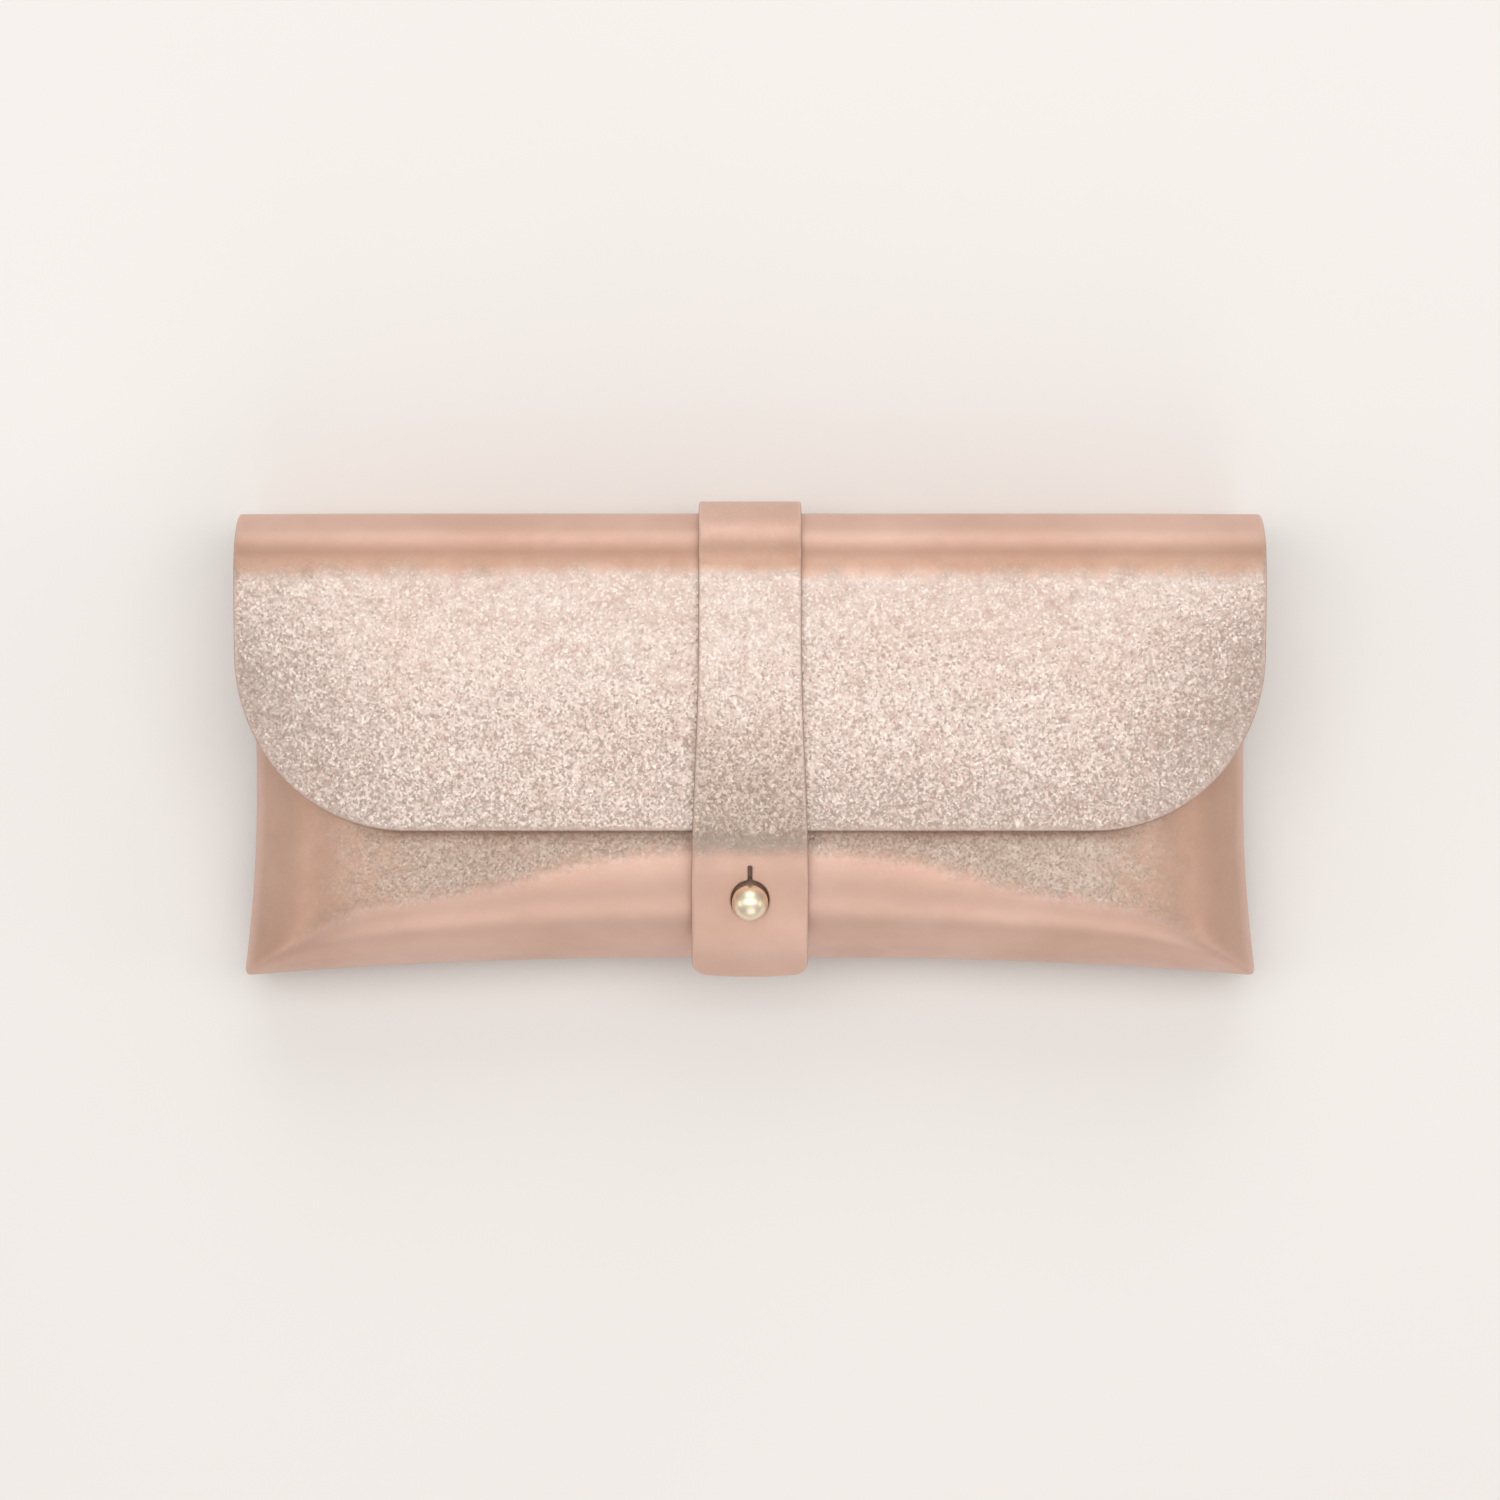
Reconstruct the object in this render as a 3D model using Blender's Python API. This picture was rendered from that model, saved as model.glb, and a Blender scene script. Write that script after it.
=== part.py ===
"""Flapped leather eyeglasses case with a wrap-over strap and a ball stud.

The case lies on its back. +Z comes out of the front face, +Y points to the folded top
and +X to the right. The origin is under the middle of the back panel, on the resting plane.
Lengths are in millimetres and are scaled to metres when a mesh is made.
"""
import math

import bmesh
import bpy
import numpy as np
from mathutils import Matrix, Vector

MM = 0.001

# outline of the sewn pocket
SIDE_MID = 88.2          # half width at the waist, where the sides pull in
SIDE_BOTTOM = 90.4       # half width at the flared bottom corners
SIDE_TOP = 89.0          # half width at SIDE_TOP_Y
SIDE_TOP_Y = 33.0
WAIST_Y = -10.0
BOTTOM_MID_Y = -38.6     # the bottom edge reaches lower at its corners than here
BOTTOM_CORNER_Y = -41.9
BOTTOM_POWER = 2.5
MOUTH_Y = 28.0           # free top edge of the front panel, under the flap

# leather, board and lining
HIDE = 1.5
FLAP_HIDE = 1.4
BOARD = 0.8
LINING = 0.5
GAP = 0.3

# puffed front and curled back
FRONT_TOP = 29.3
SEAM_LOW = 2.0           # height of the front panel's foot where the back is flat
SEAM_RISE = 4.4          # how far the sides and bottom of the back curl up to the seam
CURL = 12.0              # width of the curled margin
CURL_POWER = 2.2
CURL_FADE_Y, CURL_FADE_RUN = 16.0, 12.0
ROLL_X, ROLL_Y = 32.0, 20.0      # width of the rounded margin at the sides and the bottom
ROLL_POWER = 2.2
MITRE = 8.0              # sharpness of the blend between side and bottom rolls

# fold over the top
FOLD_Y = 39.8
LOW_R = 9.0
TOP_R = 9.6
TOP_Z = 32.0
FLAT_END_Y = FOLD_Y - LOW_R      # where the flat back meets the low arc
COVER_Y = FOLD_Y - TOP_R         # where the top arc meets the cover
BEND = math.pi / 4               # each arc is divided at its middle
SPLIT = math.radians(2.0)        # half the gap between two lengths of hide, as an angle
HINGE_OUT = 2.4                  # distance of the hinge origins outside the hide

# flap
FLAP_HALF = 89.3
FLAP_LOW_Y = -15.5
FLAP_R = 30.0
FLAP_LINING_INSET = 1.2
SPINE_LINING_HALF = 86.0
CROWN_Y, CROWN_RISE = 7.0, 1.0   # highest line of the flap, and its height above TOP_Z
DROP_X = 55.0                    # the ends bend down from here outward
DROP = 2.5                       # end drop at the fold
DROP_MORE, DROP_RUN = 4.5, 35.0  # extra drop, gained over this length of flap

# strap
RECESS = 2.6             # the back panel is dished over the strap so that the case lies flat
RECESS_X0, RECESS_X1 = 11.0, 12.5
RECESS_Y0, RECESS_Y1 = -8.8, -6.8
STRAP_END_Y = -5.8       # sewn end on the back
STRAP_TOP_HALF = 8.9
STRAP_TIP_HALF = 10.1
STRAP_WIDEN_AT, STRAP_WIDEN_RUN = 4.2, 0.7   # strap stations, see strap_base
STRAP_TIP_Y = -39.9
STRAP_TIP_R = 1.7        # rounding of the tip's corners
STRAP_HINGE_Y = 26.0
STRAP_HINGE_GAP = 0.25   # half the gap in the strap at the hinge
# name suffix, material, outer height, inner height, inset of the edges
STRAP_LAYERS = [("", "leather", 2.1, 0.9, 0.0),
                ("_lining", "suede_lining", 0.8, 0.3, 0.4)]

# threads
THREAD_SIDES = 6
THREAD_LIFT = 0.45       # height of a thread's centre over the hide
SEAM_INSET = 2.4
SEAM_TOP_Y, SEAM_LOW_Y = 24, -35
SEAM_SIDE_POINTS = 16
SEAM_THREAD_R, MOUTH_THREAD_R, ANCHOR_THREAD_R = 0.25, 0.2, 0.18
ANCHOR_HALF = 6.2
ANCHOR_LOW_Y, ANCHOR_TOP_Y = STRAP_END_Y + 2.6, STRAP_END_Y + 15.0
ANCHOR_Z = 0.26

# stud; heights are along its axis, from the front panel's surface
TURN_STEPS = 24
STUD_Y = -27.0
BALL_R = 2.9
COLLAR_FOOT = 0.35
COLLAR_H = 0.5
BALL_MID = COLLAR_FOOT + COLLAR_H + 0.35 + BALL_R * 0.93
POST_R, POST_BORE_R = 1.6, 1.0
POST_END, POST_BORE_TOP = -6.0, -2.0
SCREW_END = -7.3
PANEL_BORE_R = 1.9
HOLE_R = 3.6
SLIT = 1.1
SLIT_TOP = 6.9           # from the hole's centre to the slit's end
SLIT_MID_H, SLIT_DEPTH = 1.5, 7.0


def clip(value, low=0.0, high=1.0):
    return max(low, min(high, value))


def smooth(value):
    value = clip(value)
    return value * value * (3 - 2 * value)


def mirrored(right_side):
    """Columns across the case, from those right of the middle, listed from the edge inward."""
    return [-value for value in right_side] + [0.0] + right_side[::-1]


# ---------------------------------------------------------------- pocket surfaces
def half_width(y):
    if y < WAIST_Y:
        flare = (WAIST_Y - y) / (WAIST_Y - BOTTOM_CORNER_Y)
        return SIDE_MID + (SIDE_BOTTOM - SIDE_MID) * flare ** 2
    return SIDE_MID + (SIDE_TOP - SIDE_MID) * ((y - WAIST_Y) / (SIDE_TOP_Y - WAIST_Y)) ** 2


def bottom_edge(across):
    return BOTTOM_MID_Y + (BOTTOM_CORNER_Y - BOTTOM_MID_Y) * abs(across) ** BOTTOM_POWER


def curl_fade(y):
    """The curl of the back's sides dies out before the fold."""
    return 1 - smooth((y - CURL_FADE_Y) / CURL_FADE_RUN)


def roll(value):
    """Rounded rise from 0 at the edge to 1."""
    return (1 - (1 - clip(value)) ** ROLL_POWER) ** (1 / ROLL_POWER)


def soft_min(first, second):
    """Blended minimum, scaled so that two ones give one."""
    total = math.exp(-MITRE * first) + math.exp(-MITRE * second)
    return -math.log(total) / MITRE / (1 - math.log(2) / MITRE)


def front_point(across, up, depth):
    """Front panel. across is -1 to 1, up is 0 at the bottom edge and 1 at the mouth,
    depth goes inward."""
    low_y = bottom_edge(across) + depth
    y = low_y + (MOUTH_Y - low_y) * up
    half = half_width(y) - depth
    foot = SEAM_LOW + SEAM_RISE * curl_fade(y)
    side_roll = roll(half * (1 - abs(across)) / (ROLL_X - depth))
    bottom_roll = roll((y - low_y) / (ROLL_Y - depth))
    z = foot + (FRONT_TOP - depth - foot) * max(0.0, soft_min(side_roll, bottom_roll))
    return (half * across, y, z)


def front_height(y):
    """Height of the front panel on the centre line."""
    return front_point(0.0, (y - BOTTOM_MID_Y) / (MOUTH_Y - BOTTOM_MID_Y), 0)[2]


def recess(x, y):
    return (RECESS * smooth((RECESS_X1 - abs(x)) / (RECESS_X1 - RECESS_X0))
            * smooth((y - RECESS_Y0) / (RECESS_Y1 - RECESS_Y0)))


def back_point(across, up, depth):
    """Back panel. up runs 0 to 1 along the flat back, 1 to 2 round the low arc's first half."""
    low_y = bottom_edge(across)
    y = low_y + (FLAT_END_Y - low_y) * min(up, 1.0)
    half = half_width(y)
    x = half * across
    if up <= 1.0:
        side_curl = (1 - clip((half - abs(x)) / CURL)) ** CURL_POWER * curl_fade(y)
        bottom_curl = (1 - clip((y - low_y) / CURL)) ** CURL_POWER
        rise = SEAM_RISE * (1 - (1 - side_curl) * (1 - bottom_curl))
        return (x, y, depth + recess(x, y) + rise)
    angle = (up - 1.0) * BEND
    radius = LOW_R - depth - recess(x, FLAT_END_Y) * (1 - (up - 1.0) ** 2)
    return (x, FLAT_END_Y + radius * math.sin(angle), LOW_R - radius * math.cos(angle))


def back_row(across, y):
    """The back panel's up value at a height y on the flat back."""
    low_y = bottom_edge(across)
    return (y - low_y) / (FLAT_END_Y - low_y)


# ---------------------------------------------------------------- fold and flap surfaces
def end_drop(x):
    """The flap bends down towards its ends."""
    return clip((abs(x) - DROP_X) / (FLAP_HALF - DROP_X)) ** 2


def fold_drop(x, z):
    return DROP * end_drop(x) * smooth((z - LOW_R) / (TOP_Z - LOW_R - FLAP_HIDE))


def low_arc(x, angle, depth):
    radius = LOW_R - depth
    return (x, FLAT_END_Y + radius * math.sin(angle), LOW_R - radius * math.cos(angle))


def top_arc(x, angle, depth):
    radius = TOP_R - depth
    z = TOP_Z - TOP_R + radius * math.sin(angle)
    return (x, COVER_Y + radius * math.cos(angle), z - fold_drop(x, z))


def spine_point(x, along, depth):
    """along runs 0 to 1 on the low arc's second half, 1 to 2 upright, 2 to 3 on the top
    arc's first half."""
    if along <= 1:
        start = BEND + SPLIT
        return low_arc(x, start + (math.pi / 2 - start) * along, depth)
    if along <= 2:
        z = LOW_R + (TOP_Z - TOP_R - LOW_R) * (along - 1)
        return (x, FOLD_Y - depth, z - fold_drop(x, z))
    return top_arc(x, (BEND - SPLIT) * (along - 2), depth)


def cover_z(x, y):
    crown = CROWN_RISE * (1.0 - ((y - CROWN_Y) / (COVER_Y - CROWN_Y)) ** 2)
    drop = DROP + DROP_MORE * smooth((COVER_Y - y) / DROP_RUN)
    return TOP_Z + crown - drop * end_drop(x)


def cover_low(x, inset):
    """Lower edge of the flap: straight, with large round corners."""
    radius = FLAP_R - inset
    over = abs(x) - (FLAP_HALF - FLAP_R)
    if over <= 0:
        return FLAP_LOW_Y + inset
    return FLAP_LOW_Y + inset + radius - math.sqrt(max(radius * radius - over * over, 0.0))


def cover_point(x, along, depth, inset=0.0):
    """along runs 0 to 1 on the top arc's second half, 1 to 2 down to the flap's lower edge."""
    if along <= 1:
        start = BEND + SPLIT
        return top_arc(x, start + (math.pi / 2 - start) * along, depth)
    y = COVER_Y + (cover_low(x, inset) - COVER_Y) * (along - 1)
    return (x, y, cover_z(x, y) - depth)


HINGE_LOW = low_arc(0, BEND, -HINGE_OUT)
HINGE_TOP = top_arc(0, BEND, -HINGE_OUT)
HINGE_STRAP = (0, STRAP_HINGE_Y, cover_z(0, STRAP_HINGE_Y) + HINGE_OUT)


# ---------------------------------------------------------------- strap path
# (y, z) of the line under the strap, where it leaves the flap and drops to its tip
STRAP_DROP = [(y, cover_z(0, y)) for y in (-8.0, -12.0)] + [
    (-15.8, 32.0), (-18.5, 31.1), (-22.0, 29.75), (-27.0, 28.55),
    (-31.0, 27.0), (-35.0, 24.7), (-38.0, 22.4), (-41.0, 19.7)]


def spline(points, y):
    """Cubic height at y through points of falling y, with slopes taken from neighbours."""
    last = len(points) - 1

    def slope(index):
        y0, z0 = points[max(index - 1, 0)]
        y1, z1 = points[min(index + 1, last)]
        return (z1 - z0) / (y1 - y0)

    i = 0
    while i < last - 1 and y < points[i + 1][0]:
        i += 1
    (start_y, start_z), (end_y, end_z) = points[i], points[i + 1]
    step = end_y - start_y
    t = (y - start_y) / step
    return ((2 * t ** 3 - 3 * t * t + 1) * start_z
            + (t ** 3 - 2 * t * t + t) * slope(i) * step
            + (3 * t * t - 2 * t ** 3) * end_z
            + (t ** 3 - t * t) * slope(i + 1) * step)


def strap_line_z(y):
    return cover_z(0, y) if y > STRAP_DROP[0][0] else spline(STRAP_DROP, y)


def strap_base(station):
    """The line the strap is laid along: y, z and the outward normal's y, z.
    Stations 0-1 are on the back, 1-2 low arc, 2-3 spine, 3-4 top arc, 4-5 flap to tip."""
    if station <= 1:
        return STRAP_END_Y + (FLAT_END_Y - STRAP_END_Y) * station, RECESS, 0.0, -1.0
    if station <= 2:
        angle = (station - 1) * math.pi / 2
        radius = LOW_R - RECESS * (1 - clip((station - 1) * 2) ** 2)
        sine, cosine = math.sin(angle), math.cos(angle)
        return FLAT_END_Y + radius * sine, LOW_R - radius * cosine, sine, -cosine
    if station <= 3:
        return FOLD_Y, LOW_R + (TOP_Z - TOP_R - LOW_R) * (station - 2), 1.0, 0.0
    if station <= 4:
        angle = (station - 3) * math.pi / 2
        sine, cosine = math.sin(angle), math.cos(angle)
        return COVER_Y + TOP_R * cosine, TOP_Z - TOP_R + TOP_R * sine, cosine, sine
    y = COVER_Y + (STRAP_TIP_Y - COVER_Y) * (station - 4)
    reach = 0.05     # the slope is measured this far to each side
    slope = (strap_line_z(y + reach) - strap_line_z(y - reach)) / (2 * reach)
    length = math.hypot(slope, 1.0)
    return y, strap_line_z(y), -slope / length, 1.0 / length


def station_at(y):
    """Station of a place on the flap side of the strap."""
    return 4 + (COVER_Y - y) / (COVER_Y - STRAP_TIP_Y)


def strap_point(across, station, height, inset):
    widen = smooth((station - STRAP_WIDEN_AT) / STRAP_WIDEN_RUN)
    half = STRAP_TOP_HALF + (STRAP_TIP_HALF - STRAP_TOP_HALF) * widen - inset
    y, z, normal_y, normal_z = strap_base(station)
    return (half * across, y + normal_y * height, z + normal_z * height)


def strap_tip_point(across, station, height, inset):
    """Strap point with the tip's corners rounded off."""
    x, y, z = strap_point(across, station, height, inset)
    into_round = STRAP_TIP_R - clip(strap_base(station)[0] - STRAP_TIP_Y, 0, STRAP_TIP_R)
    trim = STRAP_TIP_R - math.sqrt(STRAP_TIP_R ** 2 - into_round ** 2)
    return (math.copysign(max(abs(x) - trim, 0), x), y, z)


# ---------------------------------------------------------------- mesh helpers
def make_material(name, colour, roughness, metallic=0.0):
    mat = bpy.data.materials.new(name)
    mat.use_nodes = True
    shader = mat.node_tree.nodes["Principled BSDF"]
    shader.inputs["Base Color"].default_value = (*colour, 1)
    shader.inputs["Roughness"].default_value = roughness
    shader.inputs["Metallic"].default_value = metallic
    return mat


def finish(bm, name, mat, origin=(0, 0, 0)):
    """Turn the faces outward and make a smooth-shaded object with its origin at origin."""
    bmesh.ops.recalc_face_normals(bm, faces=bm.faces)
    if bm.calc_volume(signed=True) < 0:
        bmesh.ops.reverse_faces(bm, faces=bm.faces)
    origin = Vector(origin)
    for vert in bm.verts:
        vert.co = (vert.co - origin) * MM
    for face in bm.faces:
        face.smooth = True
    mesh = bpy.data.meshes.new(name)
    bm.to_mesh(mesh)
    bm.free()
    ob = bpy.data.objects.new(name, mesh)
    ob.location = origin * MM
    bpy.context.scene.collection.objects.link(ob)
    mesh.materials.append(MATERIALS[mat])
    return ob


def sheet(name, mat, columns, rows, point, outer, inner, origin=(0, 0, 0)):
    """A closed solid between point(column, row, outer) and point(column, row, inner)."""
    bm = bmesh.new()
    skins = [[[bm.verts.new(point(column, row, level)) for column in columns] for row in rows]
             for level in (outer, inner)]
    last_row, last_col = len(rows) - 1, len(columns) - 1
    for i in range(last_row):
        for j in range(last_col):
            for skin, turned in zip(skins, (False, True)):
                quad = (skin[i][j], skin[i][j + 1], skin[i + 1][j + 1], skin[i + 1][j])
                for triangle in (quad[:3], (quad[0], quad[2], quad[3])):
                    bm.faces.new(triangle[::-1] if turned else triangle)
    rim = ([(0, j) for j in range(last_col)]
           + [(i, last_col) for i in range(last_row)]
           + [(last_row, j) for j in range(last_col, 0, -1)]
           + [(i, 0) for i in range(last_row, 0, -1)])
    top, under = skins
    for (i0, j0), (i1, j1) in zip(rim, rim[1:] + rim[:1]):
        bm.faces.new((top[i0][j0], under[i0][j0], under[i1][j1], top[i1][j1]))
    return finish(bm, name, mat, origin)


def circle(radius, steps):
    for k in range(steps):
        angle = 2 * math.pi * k / steps
        yield radius * math.cos(angle), radius * math.sin(angle)


def thread(name, points, radius, closed=False):
    """A round cord along a line of points that is nowhere upright."""
    bm = bmesh.new()
    line = [Vector(point) for point in points]
    count = len(line)
    rings = []
    for i, centre in enumerate(line):
        before = line[i - 1] if closed or i > 0 else line[0]
        after = line[(i + 1) % count] if closed or i < count - 1 else line[-1]
        along = (after - before).normalized()
        side = along.cross(Vector((0, 0, 1))).normalized()
        up = side.cross(along).normalized()
        rings.append([bm.verts.new(centre + a * side + b * up)
                      for a, b in circle(radius, THREAD_SIDES)])
    for i in range(count if closed else count - 1):
        start, end = rings[i], rings[(i + 1) % count]
        for k in range(THREAD_SIDES):
            following = (k + 1) % THREAD_SIDES
            bm.faces.new((start[k], start[following], end[following], end[k]))
    if not closed:
        bm.faces.new(rings[0][::-1])
        bm.faces.new(rings[-1])
    return finish(bm, name, "thread")


def lathe(name, mat, profile, closed=False):
    """A part turned about the stud's axis. profile is (radius, height) pairs, which start
    and end on the axis, or make a loop clear of it when closed."""
    bm = bmesh.new()
    rings = []
    for radius, height in profile:
        if radius == 0:
            rings.append([bm.verts.new(STUD_FRAME @ Vector((0, 0, height)))] * TURN_STEPS)
        else:
            rings.append([bm.verts.new(STUD_FRAME @ Vector((x, y, height)))
                          for x, y in circle(radius, TURN_STEPS)])
    for lower, upper in zip(rings, rings[1:] + (rings[:1] if closed else [])):
        for k in range(TURN_STEPS):
            following = (k + 1) % TURN_STEPS
            corners = (lower[k], upper[k], upper[following], lower[following])
            bm.faces.new(tuple(dict.fromkeys(corners)))   # a repeated pole counts once
    return finish(bm, name, mat)


def stud_box(name, size, centre):
    """A box square to the stud's axis."""
    bm = bmesh.new()
    bmesh.ops.create_cube(bm, size=1.0)
    for vert in bm.verts:
        vert.co = STUD_FRAME @ (vert.co * Vector(size).to_3d() if False else Vector(
            [place * length for place, length in zip(vert.co, size)]) + Vector(centre))
    return finish(bm, name, "stud_metal")


def cylinder(name, radius, top, bottom):
    return lathe(name, "stud_metal", [(0, top), (radius, top), (radius, bottom), (0, bottom)])


def as_cutter(ob):
    ob.hide_render = True
    ob.display_type = "WIRE"
    return ob


def cut(ob, tool, solver):
    modifier = ob.modifiers.new("cut_" + tool.name, "BOOLEAN")
    modifier.operation = "DIFFERENCE"
    modifier.solver = solver
    modifier.object = tool


# ---------------------------------------------------------------- scene and materials
for old in list(bpy.data.objects):
    bpy.data.objects.remove(old, do_unlink=True)

MATERIALS = {
    "leather": make_material("leather", (0.70, 0.47, 0.38), roughness=0.38, metallic=0.35),
    "suede_lining": make_material("suede_lining", (0.52, 0.36, 0.29), roughness=0.9),
    "stiffening_board": make_material("stiffening_board", (0.62, 0.55, 0.45), roughness=0.85),
    "thread": make_material("thread", (0.72, 0.52, 0.43), roughness=0.7),
    "stud_metal": make_material("stud_metal", (0.83, 0.62, 0.42), roughness=0.22, metallic=1.0),
}

# ---------------------------------------------------------------- pocket
# columns as shares of the half width, rows as shares of the panel's length
SIDE_COLUMNS = [1.0, 0.993, 0.977, 0.949, 0.909, 0.864, 0.74, 0.58, 0.4, 0.25]
BACK_COLUMNS = mirrored(SIDE_COLUMNS + [0.146, 0.126])
FRONT_COLUMNS = mirrored(SIDE_COLUMNS + [0.1])
LOW_ROWS = [0, 0.009, 0.03, 0.067, 0.118, 0.178]
FLAT_ROWS = LOW_ROWS + [0.3] + [
    back_row(0, y) for y in (RECESS_Y0, RECESS_Y1, 5.0, 15.0, 19.0, 22.0, 25.0, 27.6)]
BACK_ROWS = FLAT_ROWS + [1.0, 1.33, 1.66, 2.0 - SPLIT / BEND]
FRONT_ROWS = LOW_ROWS + [0.24, 0.33, 0.5, 0.66, 0.79, 0.85, 0.9, 0.94, 0.975, 1.0]


def pocket_wall(side, point, columns, rows, inner_columns, inner_rows):
    """Leather panel with a board and a lining inside it."""
    board_depth = HIDE + GAP
    lining_depth = board_depth + BOARD + GAP
    return [
        sheet(side + "_panel", "leather", columns, rows, point, 0, HIDE),
        sheet(side + "_board", "stiffening_board", inner_columns, inner_rows, point,
              board_depth, board_depth + BOARD),
        sheet(side + "_lining", "suede_lining", inner_columns, inner_rows, point,
              lining_depth, lining_depth + LINING)]


pocket_wall("back", back_point, BACK_COLUMNS, BACK_ROWS,
            [s for s in BACK_COLUMNS if abs(s) < 0.94], [row for row in FLAT_ROWS if row > 0.06])
front_wall = pocket_wall("front", front_point, FRONT_COLUMNS, FRONT_ROWS,
                         FRONT_COLUMNS[1:-1], FRONT_ROWS[1:-1])


def seam_thread():
    """Thread inside the pocket that follows the side and bottom edges."""
    height = HIDE + THREAD_LIFT
    left = []
    for y in np.linspace(SEAM_TOP_Y, SEAM_LOW_Y, SEAM_SIDE_POINTS):
        across = -(half_width(y) - SEAM_INSET) / half_width(y)
        left.append(back_point(across, back_row(across, y), height))
    bottom = [back_point(across, back_row(across, bottom_edge(across) + SEAM_INSET), height)
              for across in np.linspace(-0.95, 0.95, 25)]
    right = [(-x, y, z) for x, y, z in left[::-1]]
    thread("seam_thread", left + bottom + right, SEAM_THREAD_R)


def mouth_thread():
    """Thread on the front panel, just below the mouth."""
    points = []
    for across in np.linspace(-0.9, 0.9, 41):
        x, y, z = front_point(across, 0.955, 0)
        points.append((x, y, z + THREAD_LIFT))
    thread("mouth_thread", points, MOUTH_THREAD_R)


seam_thread()
mouth_thread()

# ---------------------------------------------------------------- stud
# the stud stands square to the front panel; its slope is taken over 1 mm
STUD_TILT = math.atan2(front_height(STUD_Y + 0.5) - front_height(STUD_Y - 0.5), 1.0)
STUD_FRAME = (Matrix.Translation(Vector((0, STUD_Y, front_height(STUD_Y))))
              @ Matrix.Rotation(STUD_TILT, 4, "X"))


def stud_post():
    """Ball, collar and hollow post in one piece."""
    profile = [(0, BALL_MID + BALL_R)]
    for i in range(1, 9):
        angle = math.radians(90 - i * 17.5)
        profile.append((BALL_R * math.cos(angle), BALL_MID + BALL_R * math.sin(angle)))
    profile += [(1.35, COLLAR_FOOT + 0.75), (2.7, COLLAR_FOOT + COLLAR_H),
                (2.9, COLLAR_FOOT + COLLAR_H / 2), (2.7, COLLAR_FOOT),
                (POST_R, COLLAR_FOOT), (POST_R, POST_END),
                (POST_BORE_R, POST_END), (POST_BORE_R, POST_BORE_TOP), (0, POST_BORE_TOP)]
    lathe("stud_post", "stud_metal", profile)


def stud_screw():
    """Screw in the hollow post, with a slotted head inside the case."""
    screw = lathe("stud_screw", "stud_metal",
                  [(0, -2.3), (0.8, -2.3), (0.8, -6.2), (3.0, -6.2),
                   (3.3, -6.45), (3.2, -6.9), (2.2, -7.2), (0, SCREW_END)])
    slot = stud_box("tool_screw_slot", size=(9.0, 0.8, 1.2), centre=(0, 0, SCREW_END))
    cut(screw, as_cutter(slot), "EXACT")


stud_post()
stud_screw()
lathe("stud_washer", "leather", [(2.2, -6.1), (3.9, -6.1), (3.9, -5.45), (2.2, -5.45)],
      closed=True)
bore = as_cutter(cylinder("tool_bore", PANEL_BORE_R, top=3, bottom=-8))
for layer in front_wall:
    cut(layer, bore, "MANIFOLD")

# ---------------------------------------------------------------- fold and flap
SPINE_COLUMNS = mirrored([88.8, 83.5, 78.0, 72.0, 66.0, 60.0, 52.0, 38.0, 25.0, 12.5])
SPINE_ROWS = [0, 0.33, 0.66, 1, 1.5, 2, 2.33, 2.66, 3]
FLAP_ROWS = [0, 0.33, 0.66, 1, 1.12, 1.3, 1.5, 1.7, 1.86, 1.96, 2]
FLAP_LINING_DEPTH = FLAP_HIDE + GAP


def flap_columns(inset):
    """Columns spaced by angle round the corners and evenly between them."""
    corner = [FLAP_HALF - FLAP_R + (FLAP_R - inset) * math.sin(math.radians(angle))
              for angle in (90, 76, 62, 48, 36, 24, 12, 0)]
    return mirrored(corner + [48.0, 36.0, 24.0, 12.0])


sheet("spine_panel", "leather", SPINE_COLUMNS, SPINE_ROWS, spine_point,
      0, FLAP_HIDE, HINGE_LOW)
sheet("spine_lining", "suede_lining", [x for x in SPINE_COLUMNS if abs(x) < SPINE_LINING_HALF],
      SPINE_ROWS, spine_point, FLAP_LINING_DEPTH, FLAP_LINING_DEPTH + LINING, HINGE_LOW)
sheet("flap_panel", "leather", flap_columns(0), FLAP_ROWS, cover_point,
      0, FLAP_HIDE, HINGE_TOP)
sheet("flap_lining", "suede_lining", flap_columns(FLAP_LINING_INSET), FLAP_ROWS,
      lambda x, along, depth: cover_point(x, along, depth, FLAP_LINING_INSET),
      FLAP_LINING_DEPTH, FLAP_LINING_DEPTH + LINING, HINGE_TOP)

# ---------------------------------------------------------------- strap
STATION_GAP = SPLIT / (math.pi / 2)


def strap_length(label, columns, stations, point, origin=(0, 0, 0)):
    """One length of the strap, leather over lining."""
    return [sheet("strap_" + label + suffix, mat, columns, stations,
                  lambda across, station, height: point(across, station, height, inset),
                  outer, inner, origin)
            for suffix, mat, outer, inner, inset in STRAP_LAYERS]


# the strap is divided where it bends
for label, stations, hinge in (
        ("back_leg", [0, 0.5, 1.0, 1.17, 1.34, 1.5 - STATION_GAP], (0, 0, 0)),
        ("spine_run", [1.5 + STATION_GAP, 1.67, 1.84, 2.0, 3.0, 3.17, 3.34,
                       3.5 - STATION_GAP], HINGE_LOW),
        ("flap_run", [3.5 + STATION_GAP, 3.67, 3.84, 4.0,
                      station_at(STRAP_HINGE_Y + STRAP_HINGE_GAP)], HINGE_TOP)):
    strap_length(label, [-1.0, 0.0, 1.0], stations, strap_point, hinge)

FRONT_STATIONS = [station_at(y) for y in (
    STRAP_HINGE_Y - STRAP_HINGE_GAP, 18, 10, 2, -6, -10, -14, -16, -18, -20, -22, -24.5,
    -27, -29.5, -32, -34.5, -37, -38.2, -39.2, STRAP_TIP_Y)]
strap_front = strap_length("front", [-1, -0.5, 0, 0.5, 1], FRONT_STATIONS,
                           strap_tip_point, HINGE_STRAP)

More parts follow.
